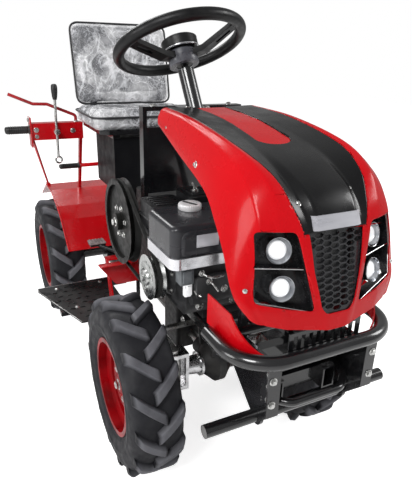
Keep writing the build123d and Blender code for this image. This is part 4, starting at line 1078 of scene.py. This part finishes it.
vinyl = surface("black_seat_vinyl", (0.012, 0.012, 0.014), 0.42, specular=0.45)
tint(vinyl, grain(vinyl, 14, 4), (0.010, 0.010, 0.011), (0.028, 0.028, 0.031))
polish(vinyl, grain(vinyl, 40, 3), 0.32, 0.55)
where = add_node(vinyl.node_tree, "TexCoord")
leather = add_node(vinyl.node_tree, "TexVoronoi", {"Vector": where.outputs["Object"]}, {"Scale": 420})
relief(vinyl, leather.outputs["Distance"], 0.35, 0.0006)
relief(vinyl, grain(vinyl, 26, 3), 0.3, 0.002)
pan_black = paint("black_seat_box_paint", (0.005, 0.005, 0.006), 0.42, specular=0.08,
    shades=((9, 4), (0.004, 0.004, 0.005), (0.008, 0.008, 0.009)), gloss=((30, 3), 0.28, 0.48),
    bumps=((260, 2), 0.1, 0.0005))
finish_node("seat_frame", pan_black, 0.002)
finish_node("seat_rails", black_paint, 0.002)
CLOTH_STEP = 0.0062
SWELL_FRAMES = 20
FILM_GAP = 0.0022
FOLD_HEIGHT = 0.0075
PIPING_R = 0.0038


def pad_outline(size, corner, steps):
    """The rounded rectangle of a pad, u across and v along."""
    corners = [(u * size[0] / 2, v * size[1] / 2) for u, v in ((-1, -1), (1, -1), (1, 1), (-1, 1))]
    return rounded_outline(corners, corner, steps)


def pad_body(name, size, corner, edge):
    """A smooth rounded block about the origin, u across, v along and w through, ready to be blown up."""
    verts, faces = [], []
    outline = pad_outline(size, corner, 8)
    steps = 6
    for top in (-1, 1):
        for k in range(steps + 1):
            turn = math.pi / 2 * k / steps
            if top < 0:
                pull, level = edge * (1 - math.sin(turn)), edge * (1 - math.cos(turn)) - size[2] / 2
            else:
                pull, level = edge * (1 - math.cos(turn)), edge * math.sin(turn) - edge + size[2] / 2
            verts += [(u - pull * u / (size[0] / 2), v - pull * v / (size[1] / 2), level) for u, v in outline]
    cover_rings(0, len(outline), 2 * (steps + 1), faces)
    return mesh_piece(name, (verts, faces), vinyl, sharp=180)


def blow_up(pad, pressure, cap):
    """Remeshes the pad evenly, swells it as inflated cloth and holds each point within the cap."""
    remesh = pad.modifiers.new("even_mesh", "REMESH")
    remesh.mode = "VOXEL"
    remesh.voxel_size = CLOTH_STEP
    bpy.context.view_layer.update()
    pad.data = even = bake(pad)
    before = [v.co.copy() for v in even.vertices]
    cloth = pad.modifiers.new("swelling", "CLOTH")
    cloth.settings.use_pressure = True
    cloth.settings.uniform_pressure_force = pressure
    cloth.settings.effector_weights.gravity = 0
    cloth.settings.quality = 4
    cloth.point_cache.frame_start = 1
    cloth.point_cache.frame_end = SWELL_FRAMES
    for frame_number in range(1, SWELL_FRAMES + 1):
        scene.frame_set(frame_number)
    swollen = bake(pad)
    for v, start in zip(swollen.vertices, before):
        move = v.co - start
        v.co = start + move * (min(1.0, cap / move.length) if move.length else 0)
    pad.data = swollen
    scene.frame_set(1)
    return pad


def seam_depth(u, v, half_u, half_v, corner, width, deep):
    """How far a sewn line, a rounded rectangle of the given half sizes, pulls the cover in at a point."""
    du, dv = abs(u) - (half_u - corner), abs(v) - (half_v - corner)
    away = math.hypot(max(du, 0), max(dv, 0)) + min(max(du, dv), 0) - corner
    return deep * math.exp(-(away / width) ** 2)


def crumple(p, seed):
    """Sharp folds of a thin film: ridged noise in three sizes, drawn out along one way."""
    bend = noise.noise(Vector((p.x * 5 + seed, p.y * 5, p.z * 5))) * 0.05
    q = Vector((p.x * 9 + p.y * 4 + bend * 30 + seed, p.y * 13 - p.x * 5, p.z * 10))
    total, weight = 0.0, 1.0
    for _ in range(3):
        total += weight * (1 - 2.2 * abs(noise.noise(q)))
        q = q * 1.9 + Vector((3.7, 1.3, 8.1))
        weight *= 0.55
    return max(total / 1.85, -0.4)


SEAT_PADS = [
    # name, node it stands for, size (across, along, thick), corner, place of the middle, lean in degrees
    ("seat_cushion_pad", "seat_cushion", (0.388, 0.292, 0.058), 0.044, (-0.305, 0.0, 0.9102), 0),
    ("seat_back_pad", "seat_back", (0.374, 0.290, 0.056), 0.034, (-0.4590, 0.0, 1.0865), 12),
]
film = surface("clear_shipping_film", (0.80, 0.81, 0.84), 0.16, specular=0.8)
film_tree = film.node_tree
folds = grain(film, 6.5, 9, (1.0, 1.2, 1.5))
folds.node.inputs["Distortion"].default_value = 1.1
# Crumpled film: thin bright creases painted in as highlights, long ones and short ones, over clearer patches
shine = folds
for crease_scale, crease_width, crease_shine in ((8, 0.030, 0.26), (17, 0.034, 0.20), (34, 0.040, 0.14)):
    crinkle = grain(film, crease_scale, 3, (1.0, 1.4, 1.2))
    crinkle.node.inputs["Distortion"].default_value = 0.8
    away = reckon(film_tree, "ABSOLUTE", reckon(film_tree, "SUBTRACT", crinkle, 0.5))
    crease = add_node(film_tree, "MapRange", {"Value": away},
                      {"From Max": crease_width, "To Min": crease_shine, "To Max": 0.0})
    shine = reckon(film_tree, "ADD", shine, crease.outputs["Result"])
veil = add_node(film_tree, "MapRange", {"Value": shine},
                {"From Min": 0.40, "From Max": 0.88, "To Min": 0.20, "To Max": 0.86})
feed(film, "Alpha", veil.outputs["Result"])
tint(film, folds, (0.62, 0.63, 0.67), (0.92, 0.92, 0.94))
polish(film, grain(film, 60, 3), 0.1, 0.3)
relief(film, shine, 0.6, 0.004)
relief(film, grain(film, 38, 6, (1, 2.2, 0.8)), 0.7, 0.004)

for name, node, size, corner, middle, lean in SEAT_PADS:
    pad = blow_up(pad_body(name, size, corner, 0.020), 4.0, 0.009)
    # u runs to the tractor's left, v up the back or to the rear, w out of the face that is sat on
    if lean:
        stand = Matrix(((0, 0, 1, 0), (1, 0, 0, 0), (0, 1, 0, 0), (0, 0, 0, 1)))
        to_place = Matrix.Translation(middle) @ Matrix.Rotation(math.radians(-lean), 4, "Y") @ stand
    else:
        lie = Matrix(((0, -1, 0, 0), (1, 0, 0, 0), (0, 0, 1, 0), (0, 0, 0, 1)))
        to_place = Matrix.Translation(middle) @ lie
    half = size[2] / 2
    inner = pad.data
    for v in inner.vertices:
        u, along, w = v.co
        if w > half * 0.4:
            w -= seam_depth(u, along, size[0] / 2 - 0.040, size[1] / 2 - 0.040, 0.03, 0.0045, 0.0065)
            w -= seam_depth(u, along, size[0] / 2 - 0.004, size[1] / 2 - 0.004, 0.045, 0.003, 0.0025)
        w = max(w, -half - 0.0008)
        if node == "seat_cushion":
            w = min(w, half - 0.0005 + 0.0085 * max(0.0, min(1.0, (0.07 - along) / 0.06)))
        v.co = (u, along, w)
    wrap = inner.copy()
    seed = 3.0 if node == "seat_back" else 9.0
    for v, start in zip(wrap.vertices, inner.vertices):
        fold = FOLD_HEIGHT * max(crumple(start.co, seed), 0) * (1 if start.co.z > -half * 0.6 else 0.1)
        spot = start.co + start.normal * (FILM_GAP + fold)
        spot.z = max(spot.z, -half - 0.0012)
        if node == "seat_cushion" and spot.y > 0.075:
            spot.z = min(spot.z, half + 0.0020)
        v.co = spot
    for data in (inner, wrap):
        data.transform(to_place)
        data.polygons.foreach_set("use_smooth", [True] * len(data.polygons))
        data.materials.clear()
    inner.materials.append(vinyl)
    wrap.materials.append(film)
    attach(pad, "chassis")
    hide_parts(node)
    cover = bpy.data.objects.new("clear_film_on_" + node, wrap)
    scene.collection.objects.link(cover)
    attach(cover, "chassis")
    for soft in (pad, cover):
        finer = soft.modifiers.new("finer", "SUBSURF")
        finer.levels = finer.render_levels = 1
    # The piping is sewn along the edge of the face
    shape = [], []
    seam = pad_outline(size, corner, 10)
    piping = [to_place @ Vector((u * 1.008, v * 1.008, half - 0.014)) for u, v in seam + seam[:1]]
    tube_path(piping, PIPING_R, 8, shape)
    mesh_piece("piping_on_" + node, shape, vinyl, "seat_vinyl", 60)


# Fenders: folded red sheet over the rear wheels, bolted to the frame's sides and joined by a strip under the
# seat. Their upper faces are painted a darker red, as painted shade.

fender_red = surface("fender_red_paint", (0.50, 0.002, 0.006), 0.24, coat=0.45, specular=0.35)
# The faces that look up are painted a darker red, more in patches: painted shade
facing = add_node(fender_red.node_tree, "NewGeometry")
split = add_node(fender_red.node_tree, "SeparateXYZ", {"Vector": facing.outputs["Normal"]})
painted_top_shade = reckon(fender_red.node_tree, "MULTIPLY", split.outputs["Z"], grain(fender_red, 18, 6))
tint(fender_red, painted_top_shade, (0.50, 0.002, 0.006), (0.40, 0.010, 0.010), 0.2, 1.0)
polish(fender_red, grain(fender_red, 16, 4), 0.16, 0.34)
relief(fender_red, grain(fender_red, 260, 1), 0.06, 0.0005)
relief(fender_red, grain(fender_red, 9, 2), 0.12, 0.004)
for name in ("fender_left", "fender_right"):
    finish_node(name, fender_red, 0.001)
shape = [], []
FENDER_EDGE_Y = 0.2886
FENDER_RIM = [(-0.292, 0.4065), (-0.312, 0.4208), (-0.356, 0.4588), (-0.400, 0.4975), (-0.436, 0.516),
              (-0.470, 0.5345), (-0.530, 0.5535), (-0.590, 0.5722), (-0.645, 0.5724), (-0.700, 0.5722),
              (-0.765, 0.536), (-0.828, 0.5008)]
for side in (-1, 1):
    tube_path([(x, side * FENDER_EDGE_Y, z - 0.0020) for x, z in FENDER_RIM], 0.0034, 10, shape)
mesh_piece("rolled_fender_edges", shape, fender_red, "painted_red", 60)
shape = [], []
for side in (-1, 1):
    for x, z in ((-0.350, 0.440), (-0.480, 0.445), (-0.610, 0.445), (-0.730, 0.445)):
        add_bolt(shape, (x, side * 0.0932, z), (0, side, 0), 0.012, 0.006)
mesh_piece("fender_bolts", shape, zinc, "bright_steel", 30)


# Footboards: pressed black sheet with rows of raised grip bars, worn bright along the edges, on two flat
# carriers. A red strut with a gusset stands beside the right board, and a steel arm holds the pedal pad.

worn_black = surface("worn_black_board", (0.006, 0.006, 0.007), 0.36, specular=0.25)
tint(worn_black, grain(worn_black, 14, 6), (0.004, 0.004, 0.0045), (0.016, 0.016, 0.015), 0.45, 0.75)
polish(worn_black, grain(worn_black, 22, 5), 0.18, 0.5)
relief(worn_black, grain(worn_black, 240, 2), 0.15, 0.0006)
for name in ("footboard_left", "footboard_right"):
    finish_node(name, worn_black, 0.0014)
finish_node("footboard_post", fender_red, 0.0008)
BAR_PITCH = 0.036
BAR_LINE = [(0, 0.2792), (0.009, 0.2802), (0.018, 0.2792)]
shape = [], []
for side in (-1, 1):
    for row in range(8):
        x = -0.232 + row * BAR_PITCH
        reach = 0.395 if x < -0.19 else 0.395 - (x + 0.19) * 0.36
        y = 0.170
        while y + 0.020 < reach:
            start = y + (0.014 if row % 2 else 0.0)
            bar = [(x, side * (start + along), z) for along, z in BAR_LINE]
            tube_path(bar, 0.0030, 6, shape, 0.7)
            y += BAR_PITCH
mesh_piece("footboard_grip_bars", shape, worn_black, "painted_black", 60)
strut = rounded_outline([(-0.258, 0.468), (-0.1105, 0.468), (-0.1105, 0.384), (-0.196, 0.384)], 0.008, 4)
shape = prism(strut, 0.0200, 0.0250, lambda u, v, h: (h, u, v))
add_slab(shape, (0.0205, -0.2540, 0.4630), (0.0480, -0.1105, 0.4680), 0.0015)
mesh_piece("red_strut_gusset", shape, fender_red, "painted_red", 30)
shape = [], []
BOARD_SCREW = [(0, -0.001), (0.0085, -0.001), (0.0085, 0.0004), (0.0065, 0.0024), (0.0030, 0.0034),
               (0, 0.0036)]
for side, out in ((-1, 0.425), (1, 0.453)):
    outer_edge = [(0.054, 0.329, 0.2790), (-0.08, 0.330 + (out - 0.330) * 0.482, 0.2790),
                  (-0.225, out - 0.0015, 0.2790), (-0.259, out - 0.0015, 0.2790)]
    rear_edge = [(-0.2592, y, 0.2786) for y in (out - 0.002, 0.29, 0.152)]
    for edge in (outer_edge, rear_edge):
        tube_path([(x, side * y, z) for x, y, z in edge], 0.0014, 8, shape)
    for x, y in ((-0.060, 0.190), (-0.060, 0.320), (-0.230, 0.190), (-0.230, 0.360)):
        turned(BOARD_SCREW, 18, axis_frame((x, side * y, 0.279), (0, 0, 1)), shape)
mesh_piece("footboard_worn_edges", shape, bright_steel, "bright_steel", 40)

pad_rubber = paint("grey_pedal_rubber", (0.19, 0.15, 0.15), 0.6, specular=0.3,
    shades=((50, 4), (0.13, 0.10, 0.10), (0.26, 0.21, 0.21)), gloss=((80, 3), 0.5, 0.75),
    bumps=((500, 2), 0.3, 0.0006))
finish_node("pedal", satin_black, 0.001)
shape = [], []
add_slab(shape, (-0.1520, -0.2470, 0.4876), (-0.1080, -0.1880, 0.4935), 0.002)
for k in range(5):
    y = -0.2425 + 0.0112 * k
    add_slab(shape, (-0.1500, y, 0.4925), (-0.1100, y + 0.006, 0.4962), 0.0012, 2)
mesh_piece("pedal_rubber_pad", shape, pad_rubber, "grip", 40)


# Hand levers: a folded red box on straps and a post, a plated rod with a ring eye and a black knob, a thin
# bent lift lever, and two bars with ribbed rubber grips.

lever_red = paint("lever_red_paint", (0.33, 0.006, 0.010), 0.3, coat=0.4, specular=0.4,
    shades=((20, 4), (0.24, 0.004, 0.007), (0.42, 0.010, 0.014)), gloss=((40, 3), 0.2, 0.42),
    bumps=((240, 1), 0.1, 0.0005))
grip_rubber = paint("ribbed_grip_rubber", (0.010, 0.010, 0.010), 0.42, specular=0.45,
    shades=((40, 3), (0.006, 0.006, 0.006), (0.018, 0.018, 0.018)), gloss=((70, 3), 0.32, 0.55),
    bumps=((600, 2), 0.25, 0.0005))
finish_node("control_stand", fender_red, 0.001)
finish_node("lift_lever", lever_red, 0)


def grip_profile(length, radius, ribs):
    """A hand grip along z from 0: a flared collar at its foot, shallow ribs, and a rounded end."""
    line = [(0, 0), (radius * 1.12, 0), (radius * 1.12, 0.004), (radius * 0.92, 0.007)]
    pitch = (length - 0.020) / ribs
    for k in range(ribs):
        z = 0.009 + k * pitch
        line += [(radius * 0.94, z), (radius, z + pitch * 0.25), (radius, z + pitch * 0.70),
                 (radius * 0.94, z + pitch * 0.92)]
    return line + [(radius * 0.96, length - 0.008), (radius * 0.80, length - 0.0022), (radius * 0.45, length),
                   (0, length)]


shape = [], []
turned(grip_profile(0.091, 0.0152, 9), 28, axis_frame((-0.500, -0.362, 0.845), (0, -1, 0)), shape)
high_grip = mesh_piece("high_lever_grip", shape, grip_rubber, "grip", 50)
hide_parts("grip_high")
LOW_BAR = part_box("low_lever")
bar_x = (LOW_BAR[0][0] + LOW_BAR[1][0]) / 2
shape = [], []
turned(grip_profile(0.083, 0.0112, 8), 28, axis_frame((bar_x, -0.170, 0.680), (0, -1, 0)), shape)
low_grip = mesh_piece("low_lever_grip", shape, grip_rubber, "grip", 50)
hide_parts("low_lever")
shape = [], []
turned([(0, 0), (0.0072, 0), (0.0080, 0.001), (0.0080, 0.149), (0.0072, 0.1515), (0, 0.1515)], 24,
       axis_frame((bar_x, -0.1715, 0.680), (0, 1, 0)), shape)
low_bar = mesh_piece("low_lever_bar", shape, red_paint, "painted_red", 50)
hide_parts("low_lever")

ROD_X, ROD_Y, EYE_Z = -0.468, -0.267, 0.728
shape = [], []
tube_path([(ROD_X, ROD_Y, EYE_Z + 0.012), (ROD_X, ROD_Y + 0.001, 0.80), (ROD_X, ROD_Y + 0.002, 0.88),
           (ROD_X, ROD_Y + 0.004, 0.962)], 0.005, 18, shape, up=(1, 0, 0))
eye_turns = [2 * math.pi * k / 12 for k in range(12)]
ring_mesh([(0.0045 * math.cos(a), 0.012 + 0.0045 * math.sin(a)) for a in eye_turns], 36, shape,
          lambda angle, v, r: (ROD_X + v, ROD_Y + r * math.sin(angle), EYE_Z + r * math.cos(angle)))
turned([(0, 0), (0.0085, 0), (0.0090, 0.001), (0.0090, 0.0285), (0.0085, 0.0295), (0, 0.0295)], 22,
       axis_frame((-0.4800, ROD_Y + 0.001, 0.838), (1, 0, 0)), shape)
add_bolt(shape, (-0.4520, ROD_Y + 0.001, 0.838), (1, 0, 0), 0.014, 0.007)
gear_rod = mesh_piece("plated_lever_rod", shape, zinc, "bright_steel", 40)
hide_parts("gear_lever")
shape = [], []
turned([(0, 0), (0.0070, 0), (0.0078, 0.002), (0.0098, 0.012), (0.0116, 0.028), (0.0120, 0.042),
        (0.0112, 0.051), (0.0088, 0.0560), (0.0045, 0.0578), (0, 0.0580)], 28,
       axis_frame((ROD_X, ROD_Y + 0.004, 0.958), (0, 0.017, 1)), shape)
gear_knob = mesh_piece("black_lever_knob", shape, grip_rubber, "grip", 50)
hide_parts("gear_lever")
shape = [], []
BOX_BOLTS = [
    # place, direction, width
    ((-0.480, -0.340, 0.845), (1, 0, 0), 0.012), ((-0.480, -0.340, 0.820), (1, 0, 0), 0.010),
    ((-0.480, -0.200, 0.838), (1, 0, 0), 0.012), ((-0.500, -0.3625, 0.882), (0, -1, 0), 0.012),
    ((-0.500, -0.182, 0.8702), (0, 0, 1), 0.013)]
for place, along, across in BOX_BOLTS:
    add_bolt(shape, place, along, across, across * 0.5)
mesh_piece("control_box_bolts", shape, zinc, "bright_steel", 30)
